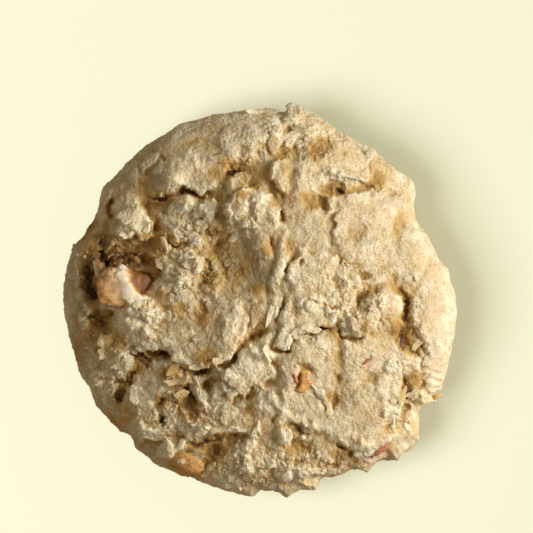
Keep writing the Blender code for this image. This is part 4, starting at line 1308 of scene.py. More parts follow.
# %% The dough as four closed quarters
top_count = top_final.shape[0] * top_final.shape[1]
top_numbers = np.arange(top_count).reshape(top_final.shape[:2])
side_numbers = top_count + np.arange(side_final.shape[0] * side_final.shape[1])
side_numbers = side_numbers.reshape(side_final.shape[:2])
foot_middle = top_count + side_numbers.size
dough_points = np.concatenate(
    [top_final.reshape(-1, 3), side_final.reshape(-1, 3), [[0.0, 0.0, FOOT_HEIGHT]]]
)
# Painted shade in hollows, painted highlight on crests, and the tones with their painted shade and
# highlight
dough_tones_and_light = {
    "hollow": np.concatenate([top_hollow.ravel(), side_hollow.ravel(), [0.0]]),
    "ridge": np.concatenate([top_ridge.ravel(), 0 * side_hollow.ravel(), [0.0]]),
    "tones": tones_at(dough_points),
    "tone": 0.5 + 0.5 * spots_on(dough_points, PALE_AND_HIGHLIGHT_SPOTS),
}


def cut_line(border):
    """Point numbers down one cut: from the middle of the top to the rim and down to the foot."""
    half = TOP_CELLS // 2
    rows = np.linspace(half, border_row[border], half + 1).round().astype(int)
    columns = np.linspace(half, border_column[border], half + 1).round().astype(int)
    return np.concatenate([top_numbers[rows, columns], side_numbers[:, border]])


def dough_quarter(number):
    """Outer and inner faces of one quarter: its square of the top, its share of the side, and fans
    from the middle of the foot to the foot's edge and to both cuts."""
    half = TOP_CELLS // 2
    rows = slice(half, None) if number in (0, 1) else slice(None, half + 1)
    columns = slice(half, None) if number in (1, 2) else slice(None, half + 1)
    share = (half + number * TOP_CELLS + np.arange(TOP_CELLS + 1)) % (4 * TOP_CELLS)
    rim = top_numbers[border_row[share], border_column[share]]
    skirt = np.concatenate([rim[None], side_numbers[:, share]])
    first, last, foot = cut_line(share[0]), cut_line(share[-1]), side_numbers[-1, share]
    fans = []
    for ahead, behind in ((first[1:], first[:-1]), (last[:-1], last[1:]), (foot[1:], foot[:-1])):
        fans.append(np.stack([np.full_like(ahead, foot_middle), ahead, behind], axis=-1))
    return [grid_faces(top_numbers[rows, columns]), grid_faces(skirt)], fans


whole = bpy.data.meshes.new("whole_dough")
whole_faces = [
    face for number in range(4) for group in dough_quarter(number)[0] for face in group.tolist()
]
whole.from_pydata((dough_points * MM).tolist(), [], whole_faces)
whole.update()
dough_normals = np.empty(3 * len(dough_points), np.float32)
whole.vertices.foreach_get("normal", dough_normals)
dough_normals = dough_normals.reshape(-1, 3)
bpy.data.meshes.remove(whole)

for number, name in enumerate(("front_right", "back_right", "back_left", "front_left")):
    smooth_faces, flat_faces = dough_quarter(number)
    used = np.unique(np.concatenate([group.ravel() for group in (*smooth_faces, *flat_faces)]))
    quarter = make_piece(
        "dough_" + name,
        dough_points[used],
        [np.searchsorted(used, group) for group in (*smooth_faces, *flat_faces)],
        dough_finish,
        **{key: values[used] for key, values in dough_tones_and_light.items()},
    )
    quarter.data.normals_split_custom_set_from_vertices(dough_normals[used].tolist())
    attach(quarter, "root")
    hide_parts("dough")

# %% [markdown]
# ## A ball without poles
# Everything loose on the cookie starts as a ball. Two square grids, each drawn onto a disc as the
# top was, are bent to half balls and share their edge, so the ball is closed and has no pole.

# %% The ball and its copies


def ball(cells):
    """Points and faces of a ball of radius 1. The reach of a square loop is its angle from the top,
    in quarter turns, and the lower half mirrors the upper one."""
    azimuth, reach = square_to_disc(cells)
    polar = 0.5 * np.pi * reach
    upper = np.stack(
        [np.sin(polar) * np.cos(azimuth), np.sin(polar) * np.sin(azimuth), np.cos(polar)], axis=-1
    )
    numbers = np.arange(upper.shape[0] * upper.shape[1]).reshape(upper.shape[:2])
    inner = upper[1:-1, 1:-1]
    lower_numbers = numbers.copy()
    lower_numbers[1:-1, 1:-1] = numbers.size + np.arange(inner.shape[0] * inner.shape[1]).reshape(
        inner.shape[:2]
    )
    points = np.concatenate([upper.reshape(-1, 3), (inner * (1, 1, -1)).reshape(-1, 3)])
    return points, np.concatenate([grid_faces(numbers), grid_faces(lower_numbers)[:, ::-1]])


def unit(vectors):
    """The vectors at length 1."""
    return vectors / np.maximum(np.linalg.norm(vectors, axis=-1, keepdims=True), 1e-9)


def chance(count, seed):
    """A random number from 0 to 1 for each of a count of copies."""
    numbers = np.arange(count)
    return scramble(np.stack([numbers, numbers // 7, numbers * 0], axis=-1), seed)


def broken(points, count, cuts, upright, seed):
    """Copies of a ball with flat sides knocked off. A point in direction p keeps the least of 1 and
    d / (p . n) over planes with direction n at distance d. Upright planes only cut the outline."""
    reach = np.ones((count, len(points)))
    for number in range(cuts):
        seeds = [seed + 7 * number + k for k in range(4)]
        normal = np.stack([chance(count, seeds[k]) - 0.5 for k in range(3)], axis=-1)
        normal = unit(normal * (1, 1, 1 - upright))
        distance = 0.50 + 0.40 * chance(count, seeds[3])
        reach = np.minimum(reach, distance[:, None] / np.maximum(normal @ points.T, 1e-3))
    return points[None] * reach[..., None]


def set_on(normals, turn, towards, tilt):
    """Turning matrices that lay a copy on the surface. Its up side follows the surface's direction,
    then rises by tilt on the side that faces towards, and its long side points along turn. Angles
    are in degrees, seen from above."""
    turn, towards, tilt = (np.radians(angle) for angle in (turn, towards, tilt))
    flat = np.zeros_like(turn)
    side = np.stack([np.cos(towards), np.sin(towards), flat], axis=-1)
    up = unit(normals - np.tan(tilt)[:, None] * side)
    along = np.stack([np.cos(turn), np.sin(turn), flat], axis=-1)
    along = unit(along - (along * up).sum(axis=-1, keepdims=True) * up)
    return np.stack([along, np.cross(up, along), up], axis=-1)


def copies(shape, faces, frames, places):
    """Copies of a shape, given as (copy, point, axis), each turned by its frame and moved to its
    place, joined into one list of points and faces."""
    points = np.einsum("kij,kpj->kpi", frames, shape) + places[:, None]
    offsets = (np.arange(len(places)) * shape.shape[1])[:, None, None]
    return points.reshape(-1, 3), (faces[None] + offsets).reshape(-1, faces.shape[-1])


# %% Where things lie on the dough
surface_points = top_final.reshape(-1, 3)
surface_normals = final_normals.reshape(-1, 3)
plain_normals = grid_normals(np.stack([top[..., 0], top[..., 1], top_plain], axis=-1))
surface_lie = unit(surface_normals + 2.5 * plain_normals.reshape(-1, 3))  # for what lies flat on it
surface_hollow = top_hollow.ravel()
surface_coarse = top_coarse.ravel()
step_along = np.gradient(top_final, axis=0)
step_across = np.gradient(top_final, axis=1)
surface_area = np.linalg.norm(np.cross(step_along, step_across), axis=-1).ravel()


def nearest_on_dough(places):
    """The numbers of the dough's points that are nearest to some places, seen from above."""
    across = surface_points[None, :, 0] - places[:, None, 0]
    up = surface_points[None, :, 1] - places[:, None, 1]
    return np.argmin(across**2 + up**2, axis=1)


def scattered_on_dough(count, weight, seed):
    """The numbers of a count of the dough's points, drawn so that each square mm is as likely as
    its weight says: the running sum of area times weight is cut at random heights."""
    total = np.cumsum(surface_area * weight)
    return np.searchsorted(total, chance(count, seed) * total[-1])


# %% What a copy takes from the dough under it


def tones_and_light_from(points, on, tone, each):
    """The dough's numbers for copies: painted shade from the dough's hollow below each, pink, ochre
    and grey with their painted shade from its own place, and its own colour from tan to pale."""
    return {
        "hollow": 0.4 * np.repeat(surface_hollow[on], each),
        "ridge": np.full(len(points), 0.35),
        "tones": tones_at(points),
        "tone": np.repeat(tone, each),
    }


# %% [markdown]
# ## The base
# The base lay on the tray. It browns more than the rest, is flat, and keeps small pores where steam
# got away. It is a thin round piece of its own, set a little into the foot of the dough.

# %% The browned base
BASE_CELLS = 90
BASE_THICKNESS = 1.3


def base_shape():
    """A lens: its edge follows the foot of the dough, its lower side is flat with pores, and its
    upper side is a low dome hidden in the dough."""
    points, faces = ball(BASE_CELLS)
    azimuth = np.arctan2(points[:, 1], points[:, 0])
    polar = np.arccos(np.clip(np.abs(points[:, 2]), 0, 1)) / (0.5 * np.pi)
    rim = soft_rim_radius(azimuth) + 0.15 * (rim_radius(azimuth) - soft_rim_radius(azimuth))
    radius = polar * (BASE_SHARE * rim + 0.25)
    x, y = radius * np.cos(azimuth), radius * np.sin(azimuth)
    flat = level(x, y)
    pores = np.clip(clouds(flat, 1.6, 301) - 0.25, 0, 1) * 0.9 + 0.12 * grains(flat, 1.4, 311)
    lower = (0.02 + pores * 0.5) * ramp(1 - polar, 0, 0.04)
    edge = 0.5 * BASE_THICKNESS
    lower = lower + edge * ramp(polar, 0.975, 1.0) * 0.9
    upper = BASE_THICKNESS - (BASE_THICKNESS - edge) * ramp(polar, 0.93, 1.0)
    z = np.where(points[:, 2] > 0.001, upper, np.where(points[:, 2] < -0.001, lower, edge))
    return np.stack([x, y, z], axis=-1), faces


base_points, base_faces = base_shape()
base_points[:, 2] -= base_points[:, 2].min()


def make_base_finish():
    """Golden brown crust in patches, with paler rings."""
    material, tree = material_named("browned_base")
    shader = tree.nodes["Principled BSDF"]
    patches = between(tree, noise_of(tree, 7.0, 4.0, 0.6), 0.35, 0.68)
    colour = mixed(tree, patches, tint(198, 146, 84), tint(168, 112, 58))
    rings = between(tree, noise_of(tree, 1.4, 4.0, 0.65), 0.5, 0.72, 0.0, 0.6)
    colour = mixed(tree, rings, colour, tint(214, 172, 112))
    tree.links.new(colour, shader.inputs["Base Color"])
    shader.inputs["Roughness"].default_value = 0.75
    shader.inputs["Specular IOR Level"].default_value = 0.3
    shader.inputs["Subsurface Weight"].default_value = 0.2
    shader.inputs["Subsurface Radius"].default_value = (1.0, 0.5, 0.2)
    shader.inputs["Subsurface Scale"].default_value = 0.0006
    fine = noise_of(tree, 0.5, 4.0, 0.65)
    add_bump(tree, shader, [(fine, 0.15, 0.8)])
    return material


base = make_piece("browned_base", base_points, [base_faces], make_base_finish())
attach(base, "root")

# %% [markdown]
# ## The fruit
# Diced fruit was stirred into the dough. It shrinks and wrinkles as it bakes, keeps its cut faces
# and edges roughly, and dough films stick to it. So each piece is a rounded block, not a ball, with
# wrinkles, and the film is a second colour and a slight thickness where the outline says.

# %% Fruit: middle in pixels, length, width, depth, turn, height, wrinkle, squareness
FRUIT_CELLS = 70
FRUIT = {
    "fruit_left": ((128, 288.5), 11.6, 7.7, 5.4, -8, 16.2, 0.12, 3.4),
    "fruit_lower_left": ((188.5, 459.5), 7.3, 4.3, 4.2, -28, 12.75, 0.14, 2.7),
    "fruit_centre": ((303, 380), 5.0, 4.5, 4.2, 28, 19.1, 0.14, 3.0),
    "fruit_skin": ((381, 446), 4.5, 1.9, 1.8, 42, 13.6, 0.14, 2.6),
}
FILM = {
    "fruit_left": (
        (114, 274), (116, 267), (124, 265), (130, 266), (131, 272), (131, 280), (134, 286),
        (140, 291), (147, 295), (144, 299), (137, 300), (129, 299), (122, 296), (119, 290),
        (116, 282)),
    "fruit_lower_left": ((178, 460), (183, 458), (187, 461), (184, 465), (178, 463)),
}
LEAN_EAST = {"fruit_left": 0.17, "fruit_centre": 0.10}
CUT_FOOT = from_picture((150, 297))[1]
CUT_DEPTH = {"fruit_left": 2.3}
SUNK = {"fruit_centre": ((293, 379, 12, 7.0, 80), 1.3)}
FILM_THICKNESS = {"fruit_left": 1.0}
THIN_FILM = 0.25


def fruit_shape(name):
    """A superellipsoid block: each axis of a ball's point is raised to the power of two over the
    squareness, then wrinkled by clouds that run along the piece. A slot sinks by a depth times
    exp(-q^3). A cut face sinks by ramps: outside the film, right of the middle, above CUT_FOOT."""
    (across, down), length, width, depth, turn, height, wrinkle, squareness = FRUIT[name]
    points, faces = ball(FRUIT_CELLS)
    block = np.sign(points) * np.abs(points) ** (2 / squareness)
    block = block / (np.abs(block) ** squareness).sum(axis=-1, keepdims=True) ** (1 / squareness)
    local = block * np.array([length, width, depth]) / 2
    seed = 400 + 10 * list(FRUIT).index(name)
    swell = clouds(local * (0.6, 1.4, 1.4), 2.2, seed, 4)
    swell = swell + 0.7 * (crests(local, 1.3, seed + 5) - 0.6)
    local = local * (1 + wrinkle * swell[:, None])
    angle = math.radians(turn)
    middle = from_picture((across, down))
    x = middle[0] + local[:, 0] * math.cos(angle) - local[:, 1] * math.sin(angle)
    y = middle[1] + local[:, 0] * math.sin(angle) + local[:, 1] * math.cos(angle)
    z = height + local[:, 2] - LEAN_EAST.get(name, 0) * local[:, 0]
    sunk = np.zeros_like(x)
    if name in SUNK:
        spot, sink = SUNK[name]
        sunk = np.exp(-(turned_ellipse(*torn(x, y), spot) ** 3)) * (local[:, 2] > 0)
        z = z - sink * sunk
    if name in CUT_DEPTH:
        outside = -inside_distance(*torn(x, y), from_picture(FILM[name]))
        sunk = ramp(outside, 0.0, 0.5) * ramp(local[:, 0], 0.1, 0.8) * (local[:, 2] > 0)
        sunk = sunk * ramp(y - CUT_FOOT, -0.6, 0.2)
        z = z - CUT_DEPTH[name] * sunk
    return np.stack([x, y, z], axis=-1), faces, local, sunk


FILM_THIN_SIDE = from_picture((126, 285))[0]


def film_on(name, points):
    """From 0 to 1: how thick the dough film is."""
    if name not in FILM:
        return np.zeros(len(points))
    x, y = torn(points[:, 0], points[:, 1])
    thin_side = FILM_THIN_SIDE - x
    inside = inside_distance(x, y, from_picture(FILM[name]))
    soft = 1.9 * ramp(thin_side, -1.0, 1.5) if name == "fruit_left" else 0.0 * x
    return ramp(inside / (1 + 3 * soft), -0.12 - 0.25 * soft, 0.22 + 0.25 * soft)


# %% [markdown]
# The fruit's flesh is orange brown, moist and translucent, so it has the widest scattering of all
# the finishes here and some gloss. Its skin is a dull red.

# %% The fruit's material


def make_fruit_finish(name, flesh, dark, bright):
    """Moist fruit: fibres and spots in three colours, painted shade on the sunk cut face, under a
    film of dough where "film" says.
    """
    material, tree = material_named(name)
    shader = tree.nodes["Principled BSDF"]
    spots = between(tree, noise_of(tree, 1.6, 3.0, 0.6), 0.38, 0.66)
    fibres = between(tree, noise_of(tree, 0.7, 3.0, 0.6, (1, 2.5, 2.5)), 0.42, 0.70)
    colour = mixed(tree, spots, flesh, dark)
    colour = mixed(tree, scaled(tree, fibres, 0.7), colour, bright)
    # Painted shade on the sunk cut face: painted dark brown, partly its own browner colour
    inside = attribute_of(tree, "hollow")
    colour = mixed(tree, scaled(tree, inside, 0.92), colour, tint(142, 90, 38))
    film = attribute_of(tree, "film")
    coat = mixed(tree, 0.35, crumb_colour(tree), tint(246, 234, 208))
    covered = mixed(tree, film, colour, coat)
    tree.links.new(covered, shader.inputs["Base Color"])
    tree.links.new(between(tree, film, 0.0, 1.0, 0.38, 0.8), shader.inputs["Roughness"])
    shader.inputs["Specular IOR Level"].default_value = 0.45
    tree.links.new(between(tree, film, 0.0, 1.0, 0.6, 0.25), shader.inputs["Subsurface Weight"])
    shader.inputs["Subsurface Radius"].default_value = (1.0, 0.58, 0.25)
    shader.inputs["Subsurface Scale"].default_value = 0.0012
    fine = noise_of(tree, 0.5, 4.0, 0.6)
    add_bump(tree, shader, [(fine, 0.18, 0.8)])
    return material


apple_flesh = make_fruit_finish(
    "baked_apple", tint(224, 170, 100), tint(172, 112, 56), tint(244, 208, 142)
)
apple_skin = make_fruit_finish(
    "apple_skin", tint(190, 122, 84), tint(150, 82, 54), tint(216, 160, 122)
)

# %% The fruit pieces
for name in FRUIT:
    points, faces, local, sunk = fruit_shape(name)
    film = film_on(name, points)
    direction = unit(local)
    rough = 0.45 + 1.1 * (crests(points, 1.5, 451) - 0.6) + 0.6 * (foam(points, 0.8, 455) - 0.5)
    thickness = FILM_THICKNESS.get(name, THIN_FILM)
    points = points + direction * (thickness * rough * film * (local[:, 2] > 0))[:, None]
    finish = apple_skin if name == "fruit_skin" else apple_flesh
    # The sunk cut face gets painted shade; the film is paler
    piece = make_piece(
        name + "_piece", points, [faces], finish, film=film, hollow=sunk * (1 - film),
        ridge=0.6 * film, tones=tones_at(points), tone=0.5 + 0.5 * film,
    )
    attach(piece, "root")
    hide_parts(name)

# %% [markdown]
# ## Oat flakes and torn crust
# Rolled oats are oval flakes, 4 to 6 mm long and half a millimetre thick, that curl as they dry.
# The crust tears into thin chips of about that size as well. A flake is a ball pressed flat, with
# an outline that wanders and a curl. It is set into the dough so that one side stands out and
# throws a shadow, which a grid of heights can't do.

# %% Flake shapes
FLAKE_CELLS = 9


def flake_shapes(cells, length, width, thickness, curl, raggedness, seed):
    """Broken, flattened balls in mm, one for each entry. The outline is widened and narrowed by a
    cloud along the azimuth, the faces are rough, and the height gets curl times the squared way
    along plus a twist."""
    points, faces = ball(cells)
    count = len(length)
    home = broken(points, count, 6, 0.8, seed + 40)
    offset = 17.0 * np.arange(count)[:, None, None] * np.array([1.0, 0.37, 0.11])
    rim = unit(points * (1, 1, 0))[None] * 1.0 + offset
    wander = cloud(rim, 0.8, seed) + 0.7 * cloud(rim, 0.34, seed + 1)
    spread = 1.15 + raggedness[:, None] * wander
    home[..., 0] *= 0.5 * length[:, None] * spread
    home[..., 1] *= 0.5 * width[:, None] * spread
    home[..., 2] = np.sign(points[:, 2]) * np.abs(points[:, 2]) ** 0.6
    home[..., 2] *= 0.5 * thickness[:, None]
    along = home[..., 0] / (0.5 * length[:, None])
    aside = home[..., 1] / (0.5 * width[:, None])
    twist = (chance(count, seed + 2) - 0.5)[:, None]
    home[..., 2] += curl[:, None] * (along**2 - 0.35 + 0.8 * twist * along * aside)
    home[..., 2] += 0.16 * clouds(home * (1, 1, 0) + offset, 1.1, seed + 3, 2)
    return home, faces


# %% Flakes at places in the picture: middle, length, width, turn, rising side, tilt, lift, tone
PLACED_FLAKES = (
    (256, 312, 5.0, 2.6, 76, 0, 6, 0.15, 0.30), (270, 312, 4.6, 1.2, 74, 180, 12, 0.30, 1.0),
    (98, 270, 3.6, 1.6, 115, 0, 25, 0.35, 0.9), (117, 309, 4.2, 1.6, -10, 90, 12, 1.0, 1.0),
    (135, 392, 3.6, 2.8, 80, 200, 14, 0.35, 1.0),
    (198, 382, 3.7, 0.9, -62, 30, 30, 0.55, 1.0), (212, 465, 3.8, 1.2, 60, 120, 20, 0.35, 0.8),
    (187, 219, 3.8, 1.7, 52, 130, 24, 0.35, 0.95), (201, 223, 1.8, 1.2, 20, 60, 10, 0.35, 1.0),
    (262, 113, 5.0, 1.8, 4, 90, 5, 0.00, 0.9), (405, 416, 3.0, 1.6, 80, 0, 14, 0.20, 0.6),
    (171, 447, 3.4, 1.7, 104, 300, 10, 0.35, 0.95), (182, 443, 2.0, 1.3, 100, 300, 10, 0.30, 0.9),
    (148, 227, 2.9, 1.5, 76, 320, 24, 0.25, 0.85), (166, 246, 3.6, 1.3, 118, 30, 30, 0.35, 0.8),
    (235, 236, 2.8, 1.7, 40, 320, 20, 0.30, 0.9), (178, 380, 3.8, 1.6, 5, 280, 22, 0.35, 0.7),
    (172, 370, 2.8, 2.2, 30, 120, 16, 0.30, 0.7), (243, 181, 3.6, 2.8, 30, 60, 20, 0.40, 0.85),
    (131, 214, 4.4, 3.4, 60, 300, 14, 0.30, 0.9), (126, 236, 2.6, 1.6, 20, 280, 24, 0.25, 0.95),
    (177, 208, 3.6, 2.6, 25, 60, 22, 0.30, 0.8), (210, 208, 3.4, 2.6, 80, 20, 16, 0.30, 0.6),
    (294, 112, 3.8, 2.8, 10, 90, 14, 0.10, 0.5), (289, 119, 2.4, 1.6, 40, 60, 16, 0.25, 1.0),
    (366, 160, 3.8, 2.0, 70, 330, 18, 0.25, 0.8),
    (397, 370, 4.2, 1.4, 88, 0, 12, 0.20, 0.9),
    (402, 393, 3.2, 1.4, 70, 10, 18, 0.20, 0.85), (436, 396, 2.4, 1.1, 70, 300, 10, 0.10, 0.0),
    (415, 345, 3.2, 1.8, 60, 200, 20, 0.25, 0.6), (410, 394, 3.0, 1.9, 40, 90, 14, 0.25, 0.8),
    (287, 434, 3.2, 2.2, 100, 30, 18, 0.40, 0.9), (308, 428, 2.6, 1.3, 20, 100, 14, 0.20, 0.8),
    (222, 428, 4.6, 1.2, 8, 280, 12, 0.20, 0.8), (246, 428, 3.6, 1.2, -4, 280, 12, 0.20, 0.75),
    (200, 432, 3.4, 1.2, 15, 280, 14, 0.20, 0.8), (155, 436, 4.4, 1.6, 2, 270, 16, 0.25, 0.6),
    (150, 345, 3.6, 1.8, 4, 270, 16, 0.30, 0.85), (178, 357, 3.8, 1.7, -22, 250, 20, 0.30, 0.8),
    (196, 366, 3.0, 1.4, 10, 270, 20, 0.30, 0.85), (218, 359, 3.6, 1.5, 10, 280, 18, 0.30, 0.85),
    (312, 328, 3.6, 1.5, 6, 280, 18, 0.30, 0.85),
    (332, 318, 2.6, 1.6, 60, 330, 20, 0.30, 0.9), (300, 336, 3.8, 1.4, 12, 90, 12, 0.10, 0.8),
    (318, 392, 3.4, 1.6, -50, 40, 10, 0.15, 0.8), (104, 352, 2.6, 1.8, 40, 200, 18, 0.25, 0.6),
    (121, 364, 3.4, 2.4, 30, 220, 20, 0.25, 0.7), (100, 379, 2.2, 1.7, 80, 180, 14, 0.15, 1.0),
    (190, 262, 3.0, 2.2, 30, 10, 16, 0.25, 0.9), (160, 262, 2.6, 1.9, 80, 200, 18, 0.25, 0.8),
    (228, 262, 2.6, 1.7, 20, 40, 14, 0.20, 0.6),
)
placed = np.array(PLACED_FLAKES, float)
placed_at = from_picture(placed[:, :2])
placed_on = nearest_on_dough(placed_at)
placed_count = len(placed)
placed_shapes, placed_faces = flake_shapes(
    FLAKE_CELLS,
    placed[:, 2] * 1.05,
    placed[:, 3] * 1.05,
    0.40 + 0.25 * chance(placed_count, 501),
    0.25 + 0.35 * chance(placed_count, 502),
    0.34 + 0.14 * chance(placed_count, 503),
    510,
)
placed_frames = set_on(
    unit(surface_normals[placed_on] + (0, 0, 1.2)), placed[:, 4], placed[:, 5], 0.75 * placed[:, 6]
)
placed_places = surface_points[placed_on].copy()
placed_places[:, :2] = placed_at
placed_places[:, 2] += placed[:, 7] * 0.6

# %% [markdown]
# The rest of the flakes are scattered: most of them where the crumb is coarse, few on smooth crust.

# %% Scattered flakes
CUT_SPOT = from_picture((143, 276))
CUT_CLEARANCE = 2.6
STEEPEST_FOR_FLAKES = 0.5
FLAKE_COUNT = 150
LOOSE_FLAKE_CELLS = 5
flake_on = scattered_on_dough(FLAKE_COUNT, surface_coarse**3, 520)
flake_size = 1.3 + 2.6 * chance(FLAKE_COUNT, 521) ** 2
loose_shapes, loose_faces = flake_shapes(
    LOOSE_FLAKE_CELLS,
    flake_size,
    flake_size * (0.45 + 0.4 * chance(FLAKE_COUNT, 522)),
    0.30 + 0.25 * chance(FLAKE_COUNT, 523),
    0.15 + 0.35 * chance(FLAKE_COUNT, 524),
    0.30 + 0.20 * chance(FLAKE_COUNT, 525),
    530,
)
loose_frames = set_on(
    surface_lie[flake_on],
    360 * chance(FLAKE_COUNT, 526),
    360 * chance(FLAKE_COUNT, 527),
    3 + 17 * chance(FLAKE_COUNT, 528),
)
loose_places = surface_points[flake_on] - 0.05 * surface_normals[flake_on]
loose_tone = 0.1 + 0.7 * chance(FLAKE_COUNT, 529)
lying = np.hypot(*(loose_places[:, :2] - CUT_SPOT).T) > CUT_CLEARANCE
lying &= surface_normals[flake_on, 2] > STEEPEST_FOR_FLAKES
flake_on, loose_tone = flake_on[lying], loose_tone[lying]
loose_shapes, loose_places = loose_shapes[lying], loose_places[lying]
loose_frames = loose_frames[lying]

# %% The flakes as one piece
HIGHEST = 21.9


def kept_low(points, each):
    """Copies that pass HIGHEST sink until they don't, so that the cookie keeps its height."""
    top_of_each = points[:, 2].reshape(-1, each).max(axis=1)
    points[:, 2] -= np.repeat(np.maximum(top_of_each - HIGHEST, 0), each)
    return points


placed_points, placed_all = copies(placed_shapes, placed_faces, placed_frames, placed_places)
loose_points, loose_all = copies(loose_shapes, loose_faces, loose_frames, loose_places)
placed_points = kept_low(placed_points, placed_shapes.shape[1])
loose_points = kept_low(loose_points, loose_shapes.shape[1])
placed_tones_and_light = tones_and_light_from(placed_points, placed_on, placed[:, 8], placed_shapes.shape[1])
loose_tones_and_light = tones_and_light_from(loose_points, flake_on, loose_tone, loose_shapes.shape[1])
flakes = make_piece(
    "oat_flakes",
    np.concatenate([placed_points, loose_points]),
    [placed_all, loose_all + len(placed_points)],
    thin_finish,
    **{key: np.concatenate([placed_tones_and_light[key], loose_tones_and_light[key]]) for key in placed_tones_and_light},
)
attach(flakes, "root")

# %% [markdown]
# ## Crumbs
# Loose and half-loose crumbs lie in the hollows and along the torn edges. They come in two sizes,
# so that the coarse ones can have more faces than the fine ones.

# %% Crumbs of two sizes


def crumb_shapes(cells, size, seed):
    """Broken balls in mm made knobbly by clouds, each stretched a little its own way."""
    points, faces = ball(cells)
    count = len(size)
    offset = 13.0 * np.arange(count)[:, None, None] * np.array([1.0, 0.29, 0.13])
    knobs = cloud(points[None] + offset, 0.6, seed)
    stretch = 0.5 + 0.5 * np.stack([chance(count, seed + 1 + axis) for axis in range(3)], axis=-1)
    shapes = broken(points, count, 8, 0.0, seed + 20) * (1.15 + 0.40 * knobs[..., None])
    return 0.5 * shapes * stretch[:, None] * size[:, None, None], faces


def scatter_crumbs(name, count, cells, smallest, largest, sink, seed):
    """A piece of a count of crumbs. More lie where the crumb is coarse, and each sits in the dough
    by a share of its size."""
    weight = 0.004 + surface_coarse**3
    on = scattered_on_dough(count, weight, seed)
    size = smallest + (largest - smallest) * chance(count, seed + 1) ** 2.5
    shapes, faces = crumb_shapes(cells, size, seed + 2)
    frames = set_on(
        surface_normals[on], 360 * chance(count, seed + 7), 360 * chance(count, seed + 8),
        40 * chance(count, seed + 9),
    )
    places = surface_points[on] + surface_normals[on] * ((0.5 - sink) * size)[:, None] * 0.6
    points, all_faces = copies(shapes, faces, frames, places)
    points = kept_low(points, shapes.shape[1])
    copy_tones_and_light = tones_and_light_from(points, on, 0.1 + 0.7 * chance(count, seed + 10), shapes.shape[1])
    piece = make_piece(name, points, [all_faces], thin_finish, **copy_tones_and_light)
    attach(piece, "root")


scatter_crumbs("coarse_crumbs", 220, cells=4, smallest=0.7, largest=1.8, sink=0.75, seed=600)
scatter_crumbs("fine_crumbs", 2600, cells=2, smallest=0.25, largest=0.6, sink=0.55, seed=640)

# %% [markdown]
# ## Specks of fruit
# Small orange and red specks show where shreds of fruit reach the surface.

# %% The specks: middle in picture pixels, length, width, turn, and 1 for skin or 0 for flesh
SPECKS = (
    (366, 360, 2.2, 0.8, 35, 1), (374, 452, 2.0, 0.9, 30, 1), (295, 377, 2.0, 0.8, 110, 1),
    (126, 421, 2.4, 1.6, 20, 0), (200, 474, 3.0, 1.3, -20, 0), (182, 470, 3.8, 1.5, -25, 0),
    (436, 397, 1.8, 1.0, 70, 0),
)
specks = np.array(SPECKS, float)
speck_at = from_picture(specks[:, :2])
speck_on = nearest_on_dough(speck_at)
speck_shapes, speck_faces = flake_shapes(
    FLAKE_CELLS, specks[:, 2], specks[:, 3], 0.8 + 0 * specks[:, 3], 0.1 + 0 * specks[:, 3],
    0.2 + 0 * specks[:, 3], 700,
)
speck_places = surface_points[speck_on].copy()
speck_places[:, :2] = speck_at
speck_frames = set_on(
    surface_normals[speck_on], specks[:, 4], 360 * chance(len(specks), 701), 8 + 0 * specks[:, 3]
)
is_skin = specks[:, 5] > 0.5
for name, chosen, finish, slot in (
    ("flesh_specks", ~is_skin, apple_flesh, "fruit"),
    ("skin_specks", is_skin, apple_skin, "fruit_skin"),
):
    points, faces = copies(
        speck_shapes[chosen], speck_faces, speck_frames[chosen], speck_places[chosen]
    )
    bare = np.zeros(len(points))
    piece = make_piece(name, points, [faces], finish, film=bare)
    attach(piece, "root")

# %% [markdown]
# ## Floor, light and camera
# The picture was cut out onto a pale backdrop: the cookie is lit by a window on the right, but the
# shadow on the backdrop falls to the upper right. So the window doesn't reach the floor, and a lamp
# that only lights the floor throws the shadow.

# %% Floor and lights
FLOOR_SIZE = 1.2
floor_material, tree = material_named("pale_floor")
floor_shader = tree.nodes["Principled BSDF"]
floor_shader.inputs["Roughness"].default_value = 0.9
floor_shader.inputs["Specular IOR Level"].default_value = 0.1
seen = tree.nodes.new("ShaderNodeLightPath").outputs["Is Camera Ray"]
floor_colour = mixed(tree, seen, tint(130, 108, 70), tint(181, 179, 160))
tree.links.new(floor_colour, floor_shader.inputs["Base Color"])
floor_shader.inputs["Emission Color"].default_value = tint(170, 169, 139)
tree.links.new(seen, floor_shader.inputs["Emission Strength"])
half = FLOOR_SIZE / 2
floor_mesh = bpy.data.meshes.new("floor")
floor_mesh.from_pydata(
    [(-half, -half, 0), (half, -half, 0), (half, half, 0), (-half, half, 0)], [], [(0, 1, 2, 3)]
)
floor_mesh.materials.append(floor_material)
floor = bpy.data.objects.new("floor", floor_mesh)
bpy.context.scene.collection.objects.link(floor)
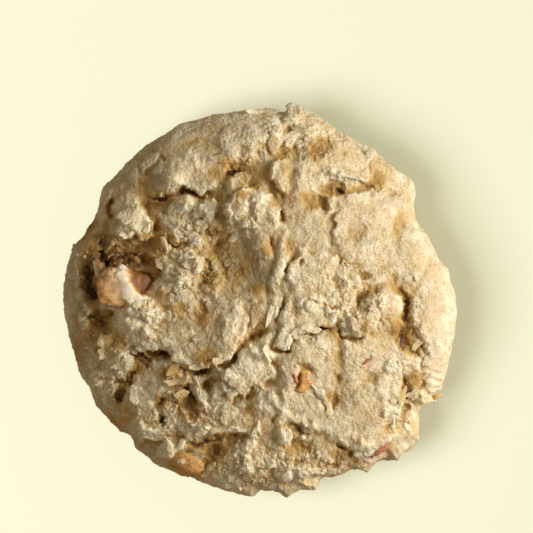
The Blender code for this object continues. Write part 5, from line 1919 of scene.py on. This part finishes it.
floor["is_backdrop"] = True


def add_area_light(name, azimuth, elevation, distance, size, power, colour):
    """A square light aimed at the cookie from a direction in degrees."""
    light = bpy.data.lights.new(name, "AREA")
    light.size = size
    light.energy = power
    light.color = colour
    lamp = bpy.data.objects.new(name, light)
    a, e = math.radians(azimuth), math.radians(elevation)
    lamp.location = (
        distance * math.cos(e) * math.cos(a),
        distance * math.cos(e) * math.sin(a),
        distance * math.sin(e),
    )
    lamp.rotation_euler = (math.pi / 2 - e, 0, a + math.pi / 2)
    bpy.context.scene.collection.objects.link(lamp)
    return lamp


window = add_area_light(
    "window", azimuth=9, elevation=32, distance=0.46, size=0.27, power=2.66,
    colour=(1.0, 0.983, 0.94),
)
backdrop_lamp = add_area_light(
    "backdrop_lamp", azimuth=198, elevation=50, distance=1.6, size=1.0, power=38.0,
    colour=(0.92, 0.94, 1.0),
)
only_floor = bpy.data.collections.new("only_floor")
only_floor.objects.link(floor)
backdrop_lamp.light_linking.receiver_collection = only_floor
all_but_floor = bpy.data.collections.new("all_but_floor")
all_but_floor.objects.link(floor)
window.light_linking.receiver_collection = all_but_floor
for member in all_but_floor.collection_objects:
    member.light_linking.link_state = "EXCLUDE"

world = bpy.data.worlds.new("soft_room")
bpy.context.scene.world = world
world.use_nodes = True
background = world.node_tree.nodes["Background"]
background.inputs["Color"].default_value = (1.0, 0.86, 0.66, 1.0)
background.inputs["Strength"].default_value = 0.28

# %% Camera
CAMERA_DISTANCE = 0.9
SENSOR_WIDTH = 36.0
PICTURE_SIZE = 533.0
camera_data = bpy.data.cameras.new("camera")
camera_data.sensor_width = SENSOR_WIDTH
camera = bpy.data.objects.new("camera", camera_data)
view_width = PICTURE_SIZE * PIXEL * MM
camera_data.lens = SENSOR_WIDTH * (CAMERA_DISTANCE - WAIST_HEIGHT * MM) / view_width
middle_of_view = from_picture((PICTURE_SIZE / 2, PICTURE_SIZE / 2)) * MM
camera.location = (middle_of_view[0], middle_of_view[1], CAMERA_DISTANCE)
bpy.context.scene.collection.objects.link(camera)
bpy.context.scene.camera = camera
bpy.context.scene.view_settings.view_transform = "Standard"

# %% Check the size
bpy.context.view_layer.update()
visual_box = [list(corner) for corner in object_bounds()]
grown = np.abs(np.array(visual_box) - np.array(CAD_BOX)) / MM
print("the visual box differs from the solids by mm:", grown.round(2).tolist())
